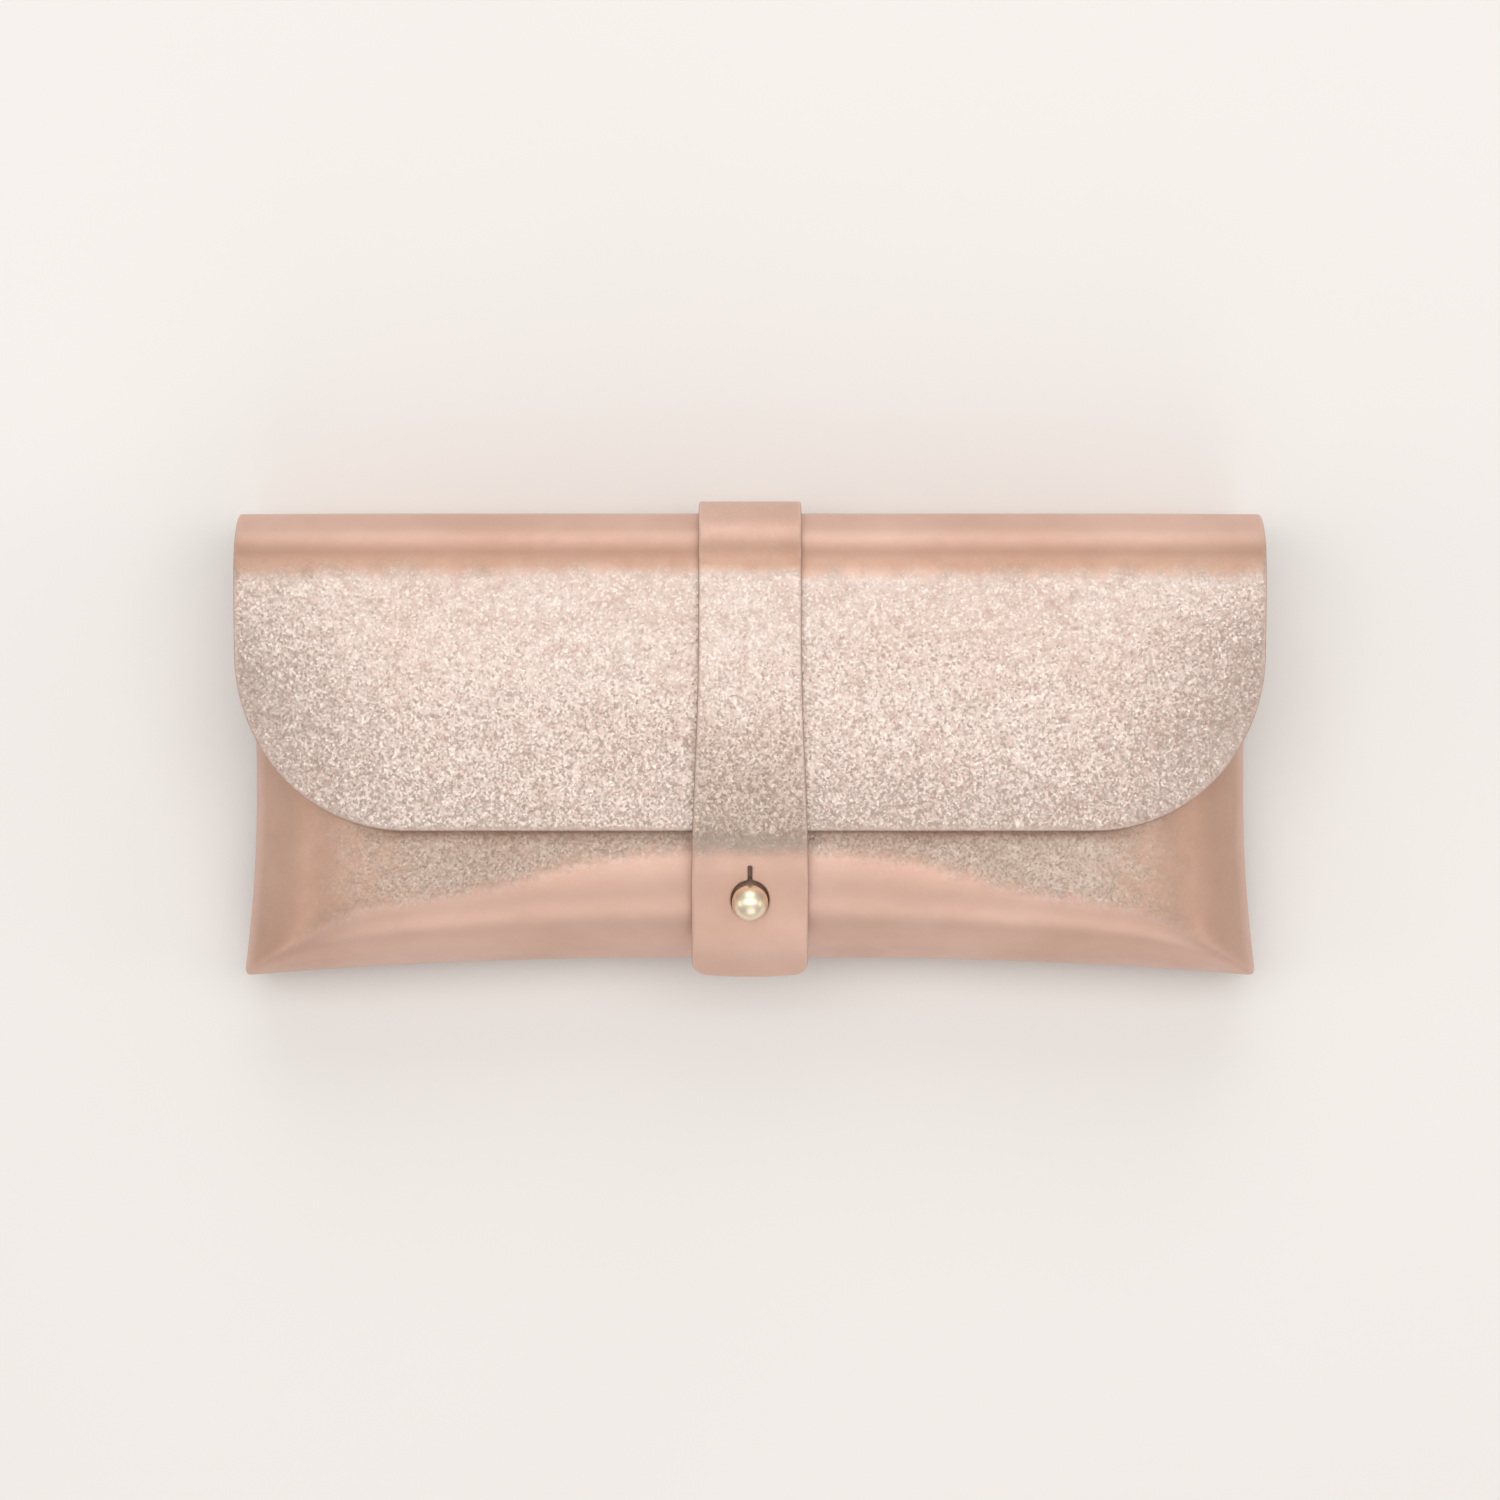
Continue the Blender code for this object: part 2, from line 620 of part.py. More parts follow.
# keyhole for the ball: a round hole with a slit towards the fold
keyhole = as_cutter(cylinder("tool_keyhole", HOLE_R, top=5, bottom=-2.5))
slit = as_cutter(stud_box("tool_slit", size=(SLIT, SLIT_TOP, SLIT_DEPTH),
                          centre=(0, SLIT_TOP / 2, SLIT_MID_H)))
for layer in strap_front:
    cut(layer, keyhole, "MANIFOLD")
    cut(layer, slit, "MANIFOLD")


def anchor_thread():
    """Box stitch that holds the strap's end to the back."""
    corners = [(-ANCHOR_HALF, ANCHOR_LOW_Y), (ANCHOR_HALF, ANCHOR_LOW_Y),
               (ANCHOR_HALF, ANCHOR_TOP_Y), (-ANCHOR_HALF, ANCHOR_TOP_Y)]
    points = []
    for (x0, y0), (x1, y1) in zip(corners, corners[1:] + corners[:1]):
        for t in np.linspace(0, 1, 7)[:-1]:
            points.append((x0 + (x1 - x0) * t, y0 + (y1 - y0) * t, ANCHOR_Z))
    thread("strap_anchor_thread", points, ANCHOR_THREAD_R, closed=True)


anchor_thread()
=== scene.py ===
"""Looks of the flapped leather eyeglasses case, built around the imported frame.

The case lies on its back: +Z is out of its front, +X across it, +Y towards the fold. The
pocket's bottom is at -Y. The flap folds over from +Y, and the strap hooks on a ball stud.
Shape lengths are in millimetres and are scaled to metres when a mesh is made.
"""
import math
from collections import namedtuple

import bmesh
import bpy
import numpy as np
from mathutils import Matrix, Vector
from mathutils.geometry import delaunay_2d_cdt


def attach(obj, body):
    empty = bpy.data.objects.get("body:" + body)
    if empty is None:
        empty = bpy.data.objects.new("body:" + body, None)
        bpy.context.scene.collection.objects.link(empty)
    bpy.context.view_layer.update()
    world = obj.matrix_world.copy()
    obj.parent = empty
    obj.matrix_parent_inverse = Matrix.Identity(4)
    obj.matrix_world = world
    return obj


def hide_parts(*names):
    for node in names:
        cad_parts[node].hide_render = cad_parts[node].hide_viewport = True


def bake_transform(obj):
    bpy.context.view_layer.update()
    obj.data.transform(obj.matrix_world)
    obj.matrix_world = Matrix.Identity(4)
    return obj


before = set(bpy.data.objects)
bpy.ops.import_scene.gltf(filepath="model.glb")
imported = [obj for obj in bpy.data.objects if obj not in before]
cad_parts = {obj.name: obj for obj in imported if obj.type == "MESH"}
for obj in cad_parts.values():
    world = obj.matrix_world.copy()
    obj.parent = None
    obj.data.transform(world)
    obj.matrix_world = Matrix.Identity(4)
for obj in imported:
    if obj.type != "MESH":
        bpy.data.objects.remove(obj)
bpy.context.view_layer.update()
MM = 0.001
SEED = 11
FAR = 1e3               # farther than any edge

# ------------------------------------------------------------------ sizes of the case
# half widths at the waist, the bottom corners and the top
SIDE_MID, SIDE_BOTTOM, SIDE_TOP = 88.2, 90.4, 89.0
WAIST_Y, SIDE_TOP_Y = -10.0, 33.0
BOTTOM_MID_Y, BOTTOM_CORNER_Y = -38.6, -41.9
MOUTH_Y = 28.0
CORNER_R = 2.2
# layers, from the outside in
HIDE, FLAP_HIDE, BOARD, LINING, GAP = 1.5, 1.4, 0.8, 0.5, 0.3
CLOSE_GAP = 0.04        # between hide and lining where no board is
LINING_DEPTH = HIDE + GAP + BOARD + GAP
FLAP_LINING_DEPTH = FLAP_HIDE + CLOSE_GAP
FRONT_TOP = 29.3
SEAM_LOW, SEAM_RISE, CURL = 1.56, 4.4, 12.0
# the fold: a lower arc, a flat spine and an upper arc
FOLD_Y, LOW_R, TOP_R, TOP_Z = 39.8, 9.0, 9.6, 32.0
FLAT_Y, COVER_Y = FOLD_Y - LOW_R, FOLD_Y - TOP_R
SPINE_CUT_Z = 15.7      # where the two sheets of the fold meet, on the flat of the spine
FLAP_HALF, FLAP_LOW_Y, FLAP_R = 89.3, -15.5, 30.0
CROWN, CROWN_Y = 1.0, 7.0
DROP_X = 55.0           # the cover falls away outside this
# the back's recess for the strap: depth, and where its walls start and end
RECESS, RECESS_X0, RECESS_X1, RECESS_Y0, RECESS_Y1 = 2.6, 10.2, 12.6, -9.4, -6.6
STRAP_END_Y, STRAP_TIP_Y = -5.8, -39.9
STRAP_TOP_HALF, STRAP_TIP_HALF = 8.9, 10.1
# strap layers, out from the line it is laid on
STRAP_IN, STRAP_OUT = (0.3, 0.85), (0.85, 2.1)
TIP_BOW, TIP_R = 0.6, 2.4
STUD_Y, BALL_R = -27.0, 3.12
HOLE_R, SLIT_HALF, SLIT_LEN = 3.22, 0.28, 6.2
# nominal sizes the grids are laid out in
GRID_HALF, FRONT_LEN = 88.5, 68.0
BACK_LEN, COVER_LEN = FLAT_Y - BOTTOM_MID_Y, COVER_Y - FLAP_LOW_Y
LOW_ARC, TOP_ARC = LOW_R * math.pi / 2, TOP_R * math.pi / 2


# ------------------------------------------------------------------ curves
def clip01(t):
    return np.clip(t, 0.0, 1.0)


def smooth(t):
    t = clip01(t)
    return t * t * (3 - 2 * t)


def rise(value, start, over):
    """0 up to start, then eases to 1 over a length."""
    return smooth((value - start) / over)


def fall(value, end, over):
    """1, then eases to 0 over the length before end."""
    return smooth((end - value) / over)


def roll(t, power):
    t = clip01(t)
    return (1 - (1 - t) ** power) ** (1 / power)


def soft_min(one, other, sharpness):
    total = np.exp(-sharpness * one) + np.exp(-sharpness * other)
    return -np.log(total) / sharpness / (1 - math.log(2) / sharpness)


def ripple(x, y, seed, size):
    """Gentle unevenness of a hide: a few sine waves of mixed direction, about -1 to 1."""
    rng = np.random.RandomState(SEED + seed)
    total = np.zeros(np.broadcast(x, y).shape)
    for _ in range(7):
        turn = rng.uniform(0, 2 * math.pi)
        wave = size * rng.uniform(0.6, 1.8)
        along = x * math.cos(turn) + y * math.sin(turn)
        total = total + np.sin(along * 2 * math.pi / wave + rng.uniform(0, 6.3))
    return total / 7 * 1.6


def round_corner(from_side, from_low, radius):
    """Distances from the side and the bottom, with the square corner made round."""
    u, v = clip01((radius - from_side) / radius), clip01((radius - from_low) / radius)
    return (from_side + radius * (u - u * np.sqrt(1 - v * v / 2)),
            from_low + radius * (v - v * np.sqrt(1 - u * u / 2)))


# ------------------------------------------------------------------ the case's surfaces
def half_width(y):
    y = np.asarray(y, float)
    low = (WAIST_Y - y) / (WAIST_Y - BOTTOM_CORNER_Y)
    high = (y - WAIST_Y) / (SIDE_TOP_Y - WAIST_Y)
    return np.where(y < WAIST_Y, SIDE_MID + (SIDE_BOTTOM - SIDE_MID) * low ** 2,
                    SIDE_MID + (SIDE_TOP - SIDE_MID) * high ** 2)


def bottom_edge(side):
    return BOTTOM_MID_Y + (BOTTOM_CORNER_Y - BOTTOM_MID_Y) * np.abs(side) ** 2.5


def seam_fade(y):
    return 1 - rise(y, start=16.0, over=12.0)


def front_parts(side, up, depth):
    """Place, distances from the side and bottom, and how far each has rolled up."""
    low_y = bottom_edge(side) + depth
    y = low_y + (MOUTH_Y - low_y) * up
    half = half_width(y) - depth
    x = half * side
    from_side, from_low = half * (1 - np.abs(side)), y - low_y
    low_roll = 20.0 - 7.0 * clip01(np.abs(x) / 60.0) ** 1.5
    side_rise = roll(from_side / (32.0 - depth), 2.2)
    low_rise = roll(from_low / (low_roll - depth), 2.2)
    round_x, round_y = round_corner(from_side, from_low, np.maximum(CORNER_R - depth, 0.4))
    return (np.sign(side) * (half - round_x), low_y + round_y, from_side, from_low,
            side_rise, low_rise)


def front_xyz(side, up, depth):
    """side -1 to 1 across, up 0-1 from the bottom to the mouth."""
    x, y, from_side, from_low, side_rise, low_rise = front_parts(side, up, depth)
    foot = SEAM_LOW + SEAM_RISE * seam_fade(y)
    # the mitre is sharp at the corner and softens as it runs in
    sharpness = 22.0 - 14.0 * smooth(np.minimum(from_side, from_low * 1.5) / 22.0)
    lift = np.maximum(0.0, soft_min(side_rise, low_rise, sharpness))
    z = foot + (FRONT_TOP - depth - foot) * lift
    live = smooth(from_side / 8.0) * smooth(from_low / 8.0)
    z = z + 0.16 * live * ripple(x, y, seed=1, size=30.0)
    return np.stack([x, y, z], -1)


def recess(x, y):
    return (RECESS * fall(np.abs(x), end=RECESS_X1, over=RECESS_X1 - RECESS_X0)
            * rise(y, start=RECESS_Y0, over=RECESS_Y1 - RECESS_Y0))


def back_xyz(side, up, depth):
    """up 0-1 along the flat back, 1-2 round the lower arc, 2-3 up the spine to the cut."""
    side, up, depth = np.broadcast_arrays(*(np.asarray(v, float) for v in (side, up, depth)))
    low_y = bottom_edge(side)
    y = low_y + (FLAT_Y - low_y) * np.minimum(up, 1.0)
    half = half_width(y)
    half = half + (FLAP_HALF - half) * smooth(up - 1.0)
    x = half * side
    side_curl = (1 - clip01((half - np.abs(x)) / CURL)) ** 2.2 * seam_fade(y)
    low_curl = (1 - clip01((y - low_y) / CURL)) ** 2.2
    round_x, round_y = round_corner(half - np.abs(x), y - low_y, CORNER_R)
    curl = SEAM_RISE * (1 - (1 - side_curl) * (1 - low_curl))
    flat = np.stack([np.sign(side) * (half - round_x), low_y + round_y,
                     depth + recess(x, y) + curl], -1)
    turn = clip01(up - 1.0) * math.pi / 2
    radius = LOW_R - depth - recess(x, FLAT_Y) * (1 - clip01((up - 1.0) * 2) ** 2)
    arc = np.stack([x, FLAT_Y + radius * np.sin(turn), LOW_R - radius * np.cos(turn)], -1)
    spine = np.stack([x, FOLD_Y - depth,
                      LOW_R + (SPINE_CUT_Z - LOW_R) * np.maximum(up - 2.0, 0)], -1)
    out = np.where((up <= 1.0)[..., None], flat, arc)
    return np.where((up > 2.0)[..., None], spine, out)


def back_length(up):
    """Length over the back and up the spine."""
    return np.where(up <= 1, up * BACK_LEN,
                    np.where(up <= 2, BACK_LEN + (up - 1) * LOW_ARC,
                             BACK_LEN + LOW_ARC + (up - 2) * (SPINE_CUT_Z - LOW_R)))


def end_drop(x):
    return clip01((np.abs(x) - DROP_X) / (FLAP_HALF - DROP_X)) ** 2


def fold_drop(x, z):
    return 2.5 * end_drop(x) * rise(z, start=LOW_R, over=TOP_Z - LOW_R - FLAP_HIDE)


def cover_z(x, y):
    crown = CROWN - ((y - CROWN_Y) / (COVER_Y - CROWN_Y)) ** 2
    return TOP_Z + crown - (2.5 + 4.5 * fall(y, end=COVER_Y, over=35.0)) * end_drop(x)


def cover_low(x, inset):
    radius = FLAP_R - inset
    over = np.maximum(np.abs(x) - (FLAP_HALF - FLAP_R), 0)
    return FLAP_LOW_Y + inset + radius - np.sqrt(np.maximum(radius * radius - over * over, 0.0))


def cover_y(x, along, inset=0.0):
    return COVER_Y + (cover_low(x, inset) - COVER_Y) * np.maximum(along - 2.0, 0)


def flap_y(x, along):
    """Outer y of the upper arc and the cover."""
    arc = COVER_Y + TOP_R * np.cos(clip01(along - 1) * math.pi / 2)
    return np.where(along > 2, cover_y(x, along), arc)


def flap_xyz(x, along, depth, inset=0.0):
    """along 0-1 up the spine from the cut, 1-2 round the upper arc, 2-3 down the cover."""
    x, along, depth = np.broadcast_arrays(*(np.asarray(v, float) for v in (x, along, depth)))
    z = SPINE_CUT_Z + (TOP_Z - TOP_R - SPINE_CUT_Z) * np.minimum(along, 1.0)
    cut_drop = fold_drop(x, SPINE_CUT_Z) * (1 - smooth(along))
    spine = np.stack([x, FOLD_Y - depth, z - fold_drop(x, z) + cut_drop], -1)
    turn = clip01(along - 1.0) * math.pi / 2
    radius = TOP_R - depth
    z = TOP_Z - TOP_R + radius * np.sin(turn)
    arc = np.stack([x, COVER_Y + radius * np.cos(turn), z - fold_drop(x, z)], -1)
    y = cover_y(x, along, inset)
    live = fall(y, end=COVER_Y, over=8.0)
    z = cover_z(x, y) - depth + 0.14 * live * ripple(x, y, seed=2, size=34.0)
    out = np.where((along <= 1.0)[..., None], spine, arc)
    return np.where((along > 2.0)[..., None], np.stack([x, y, z], -1), out)


# ------------------------------------------------------------------ the strap's line
# (y, z) of the line from where it leaves the cover to the tip
STRAP_STATIONS = np.array([
    (-12.0, float(cover_z(0.0, -12.0))), (-15.8, 32.0), (-18.5, 31.1), (-22.0, 29.75),
    (-27.0, 28.55), (-31.0, 27.0), (-35.0, 24.7), (-38.0, 22.4), (-41.0, 19.7)])
LINE_STEP = 0.25


def strap_height(y):
    """Height on the cover, then a Catmull-Rom curve through the stations."""
    ys, zs = STRAP_STATIONS.T
    if y > ys[0]:
        return float(cover_z(0.0, y))
    last = len(ys) - 1
    slopes = [(cover_z(0.0, ys[0] + 0.1) - cover_z(0.0, ys[0] - 0.1)) / 0.2]
    for i in range(1, last + 1):
        j = min(i + 1, last)
        slopes.append((zs[j] - zs[i - 1]) / (ys[j] - ys[i - 1]))
    i = np.clip(np.searchsorted(-ys, -y, side="right") - 1, 0, last - 1)
    span = ys[i + 1] - ys[i]
    t = (y - ys[i]) / span
    return float((2 * t ** 3 - 3 * t * t + 1) * zs[i]
                 + (t ** 3 - 2 * t * t + t) * slopes[i] * span
                 + (3 * t * t - 2 * t ** 3) * zs[i + 1] + (t ** 3 - t * t) * slopes[i + 1] * span)


def build_strap_line():
    """Points (y, z) from the back end to the tip, length at each, and outward normals."""
    points = [(y, RECESS) for y in np.arange(STRAP_END_Y, FLAT_Y, LINE_STEP)]
    for turn in np.arange(0, math.pi / 2, LINE_STEP / LOW_R):
        radius = LOW_R - RECESS * (1 - min(turn / (math.pi / 4), 1.0) ** 2)
        points.append((FLAT_Y + radius * math.sin(turn), LOW_R - radius * math.cos(turn)))
    points += [(FOLD_Y, z) for z in np.arange(LOW_R, TOP_Z - TOP_R, LINE_STEP)]
    for turn in np.arange(0, math.pi / 2, LINE_STEP / TOP_R):
        points.append((COVER_Y + TOP_R * math.cos(turn), TOP_Z - TOP_R + TOP_R * math.sin(turn)))
    points += [(y, strap_height(y)) for y in np.arange(COVER_Y, STRAP_TIP_Y - 0.01, -LINE_STEP)]
    points = np.array(points)
    step = np.hypot(*np.diff(points, axis=0).T)
    length = np.concatenate([[0], np.cumsum(step)])
    keep = np.concatenate([[True], step > 0.02])
    points, length = points[keep], length[keep]
    tangent = np.gradient(points, length, axis=0)
    tangent /= np.linalg.norm(tangent, axis=1)[:, None]
    # the outer side is to the right of the direction of travel on the back (towards -Z)
    normal = np.stack([tangent[:, 1], -tangent[:, 0]], -1)
    for _ in range(6):
        normal[1:-1] = (normal[:-2] + 2 * normal[1:-1] + normal[2:]) / 4
    normal /= np.linalg.norm(normal, axis=1)[:, None]
    return points, length, normal


LINE, LINE_LENGTH, LINE_NORMAL = build_strap_line()


def spine_length(z):
    """Length along the strap at a height on the spine."""
    on_spine = np.abs(LINE[:, 0] - FOLD_Y) < 0.05
    return float(np.interp(z, LINE[on_spine, 1], LINE_LENGTH[on_spine]))


def cover_length(y):
    """Length along the strap at a place on the cover."""
    on_cover = (LINE[:, 1] > 19) & (LINE_LENGTH > LINE_LENGTH[-1] - 75.0)
    return float(np.interp(-y, -LINE[on_cover, 0], LINE_LENGTH[on_cover]))


CUT_AT = spine_length(SPINE_CUT_Z)
COVER_AT = cover_length(COVER_Y - 0.01)
TIP_AT = float(LINE_LENGTH[-1])
STUD_AT = cover_length(STUD_Y)
HOLE_AT = STUD_AT - 0.28      # the strap pulls its hole up against the post


def strap_half(along):
    return (STRAP_TOP_HALF + (STRAP_TIP_HALF - STRAP_TOP_HALF)
            * rise(along, start=COVER_AT + 14.0, over=42.0))


def strap_y(along):
    return np.interp(along, LINE_LENGTH, LINE[:, 0])


def strap_xyz(x, along, out):
    """x across, out from the line it is laid on."""
    y, z = strap_y(along), np.interp(along, LINE_LENGTH, LINE[:, 1])
    out_y, out_z = (np.interp(along, LINE_LENGTH, LINE_NORMAL[:, i]) for i in (0, 1))
    size = np.hypot(out_y, out_z)
    on_cover = rise(along, start=COVER_AT, over=10.0)
    wave = 0.10 * ripple(x * 0.6, along, seed=5, size=40.0)
    wave = wave * on_cover * fall(along, end=TIP_AT + 6, over=12.0)
    dish = 0.10 * on_cover * (1 - (x / 9.5) ** 2)
    out = out + wave + dish
    return np.stack([np.broadcast_to(x, np.shape(y)),
                     y + out_y / size * out, z + out_z / size * out], -1)


# ------------------------------------------------------------------ mesh helpers
def faces_out(bm):
    bmesh.ops.recalc_face_normals(bm, faces=bm.faces)
    if bm.calc_volume(signed=True) < 0:
        bmesh.ops.reverse_faces(bm, faces=bm.faces)


def make_object(name, verts, faces, material=None, attrs=None, sharp=50):
    me = bpy.data.meshes.new(name)
    places = np.array([tuple(v) for v in verts]) * MM
    me.from_pydata([tuple(v) for v in places], [], [tuple(int(i) for i in f) for f in faces])
    me.update()
    for key, values in (attrs or {}).items():
        values = np.asarray(values, np.float32)
        if values.ndim == 1:
            me.attributes.new(key, "FLOAT", "POINT").data.foreach_set("value", values)
        else:
            layer = me.attributes.new(key, "FLOAT_VECTOR", "POINT")
            layer.data.foreach_set("vector", values.ravel())
    if material:
        me.materials.append(material)
    bm = bmesh.new()
    bm.from_mesh(me)
    bmesh.ops.remove_doubles(bm, verts=bm.verts, dist=2e-6)
    bmesh.ops.dissolve_degenerate(bm, edges=bm.edges, dist=1e-7)
    faces_out(bm)
    bm.to_mesh(me)
    bm.free()
    me.polygons.foreach_set("use_smooth", [True] * len(me.polygons))
    me.set_sharp_from_angle(angle=math.radians(sharp))
    ob = bpy.data.objects.new(name, me)
    bpy.context.scene.collection.objects.link(ob)
    return ob


def edge_depth(from_edge, thick, edge_r):
    near = 1 - clip01(from_edge / edge_r)
    return thick / 2 * (1 - np.sqrt(np.maximum(1 - near ** 2.4, 0)))


def laid_flat(points):
    """Texture places by length over a grid of points: across from the middle column,
    along from the last row."""
    rows, columns = points.shape[:2]
    steps_x = np.linalg.norm(np.diff(points, axis=1), axis=-1)
    steps_y = np.linalg.norm(np.diff(points, axis=0), axis=-1)
    across = np.concatenate([np.zeros((rows, 1)), np.cumsum(steps_x, axis=1)], axis=1)
    across = across - across[:, columns // 2][:, None]
    along = np.concatenate([np.zeros((1, columns)), np.cumsum(steps_y, axis=0)], axis=0)
    return across + 400.0, along - along[-1][None, :]


def at_places(value, u, v):
    """A number, or a function of place, as one value per point."""
    value = value(u, v) if callable(value) else value
    return np.broadcast_to(value, u.shape).reshape(-1)


def hide_object(name, outer, inner, faces, place, flat, from_edge, edge_r, grain, tone, cut,
                material):
    """Two layers of points with the attributes the materials read. cut: per point, or None."""
    u, v = flat(*place)
    flat_place = np.stack([u, v, np.zeros_like(u)], -1).reshape(-1, 3)
    edge = (1 - clip01((from_edge - 0.25 * edge_r) / (1.1 * edge_r))).reshape(-1)
    grain, tone = at_places(grain, *place), at_places(tone, *place)
    zero = np.zeros(len(edge))
    # the tone attribute carries painted shade, on the outer side only
    attrs = {"flat": np.concatenate([flat_place, flat_place + [300.0, 170.0, 0]]),
             "edge": np.tile(edge, 2), "grain": np.tile(grain, 2),
             "inner": np.concatenate([zero, zero + 1]), "tone": np.concatenate([tone, zero])}
    if cut is not None:
        attrs["cut"] = cut
    return make_object(name, np.concatenate([outer, inner]), faces, material, attrs)


def sheet(name, columns, rows, surface, thick, edge_r, from_edge, flat, material,
          grain=1.0, start=0.0, tone=0.0, cut=None):
    """A hide between two surfaces on one grid. Its free edges are rounded over.
    from_edge: distance to the nearest free edge; flat: texture place in mm;
    grain: how pebbled it is; start: depth of its outer side."""
    place = np.meshgrid(np.asarray(columns, float), np.asarray(rows, float))
    distance = from_edge(*place)
    depth = edge_depth(distance, thick, edge_r)
    outer = surface(*place, start + depth).reshape(-1, 3)
    inner = surface(*place, start + thick - depth).reshape(-1, 3)
    count = len(outer)
    index = np.arange(count).reshape(place[0].shape)
    quads = np.stack([index[:-1, :-1], index[:-1, 1:], index[1:, 1:], index[1:, :-1]], -1)
    quads = quads.reshape(-1, 4)
    faces = [tuple(q) for q in quads] + [tuple(q[::-1] + count) for q in quads]
    loop = [*index[0], *index[1:, -1], *index[-1, -2::-1], *index[-2:0:-1, 0]]
    apart = np.linalg.norm(outer - inner, axis=1) >= 2e-3
    for a, b in zip(loop, loop[1:] + loop[:1]):
        if apart[a] or apart[b]:
            faces.append((b, a, a + count, b + count))
    if cut:
        cut = at_places(cut, *place)
        cut = np.concatenate([cut, 0 * cut])
    return hide_object(name, outer, inner, faces, place, flat, distance, edge_r, grain, tone,
                       cut, material)


# distances from a free edge, in edge radii, at which rows of points are laid
EDGE_STEPS = np.array([0, 0.03, 0.13, 0.3, 0.55, 1.0, 1.7])


def plate(name, outline, hole, step, surface, thick, edge_r, outside, flat, grain, material,
          tone, cut):
    """A hide cut to any outline with a hole, both closed loops of points.
    outside: distance outside the cut shape, negative within it."""
    points, edges = [], []
    for loop in (outline, hole):
        base, count = len(points), len(loop)
        points += list(loop)
        edges += [(base + i, base + (i + 1) % count) for i in range(count)]
    eps = 1e-3
    for loop in (outline, hole):
        x, y = np.asarray(loop, float).T
        grad_x = (outside(x + eps, y) - outside(x - eps, y)) / (2 * eps)
        grad_y = (outside(x, y + eps) - outside(x, y - eps)) / (2 * eps)
        size = np.hypot(grad_x, grad_y)
        size[size < 1e-6] = 1
        for near in EDGE_STEPS[1:] * edge_r:
            inset_x, inset_y = x - grad_x / size * near, y - grad_y / size * near
            ok = -outside(inset_x, inset_y) > near * 0.8
            points += list(zip(inset_x[ok], inset_y[ok]))
    low, high = np.min(outline, axis=0), np.max(outline, axis=0)
    grid_x, grid_y = np.meshgrid(np.arange(low[0], high[0], step),
                                 np.arange(low[1], high[1], step))
    grid_x = grid_x + (np.arange(len(grid_x)) % 2)[:, None] * step / 2
    ok = -outside(grid_x, grid_y) > 1.9 * edge_r
    points += list(zip(grid_x[ok], grid_y[ok]))
    vectors = [Vector((float(x), float(y))) for x, y in points]
    result = delaunay_2d_cdt(vectors, edges, [], 0, 1e-5)
    points = np.array([(v.x, v.y) for v in result[0]])
    keep = []
    for face in result[2]:
        centre = points[list(face)].mean(0)
        if len(face) == 3 and outside(centre[:1], centre[1:])[0] < 0:
            keep.append(face)
    used = sorted({i for face in keep for i in face})
    new_index = {old: new for new, old in enumerate(used)}
    keep = [tuple(new_index[i] for i in face) for face in keep]
    place = points[used].T
    count = len(used)
    distance = np.maximum(-outside(*place), 0)
    depth = edge_depth(distance, thick, edge_r)
    depth[distance < 1e-3] = thick / 2
    outer = surface(*place, depth)
    inner = surface(*place, thick - depth)
    faces = keep + [tuple(i + count for i in face[::-1]) for face in keep]
    return hide_object(name, outer, inner, faces, place, flat, distance, edge_r, grain, tone,
                       np.tile(at_places(cut, *place), 2), material)


def runs(*spans):
    """Places along several (start, stop, step) spans, one after the other."""
    return [place for span in spans for place in np.arange(*span)]


def mirrored(places):
    """Columns across the whole width, from places that fall to 0 at the middle."""
    places = np.array(places)
    return np.concatenate([-places, places[-2::-1]])


def stands_for(ob, slot, *nodes):
    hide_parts(*nodes)


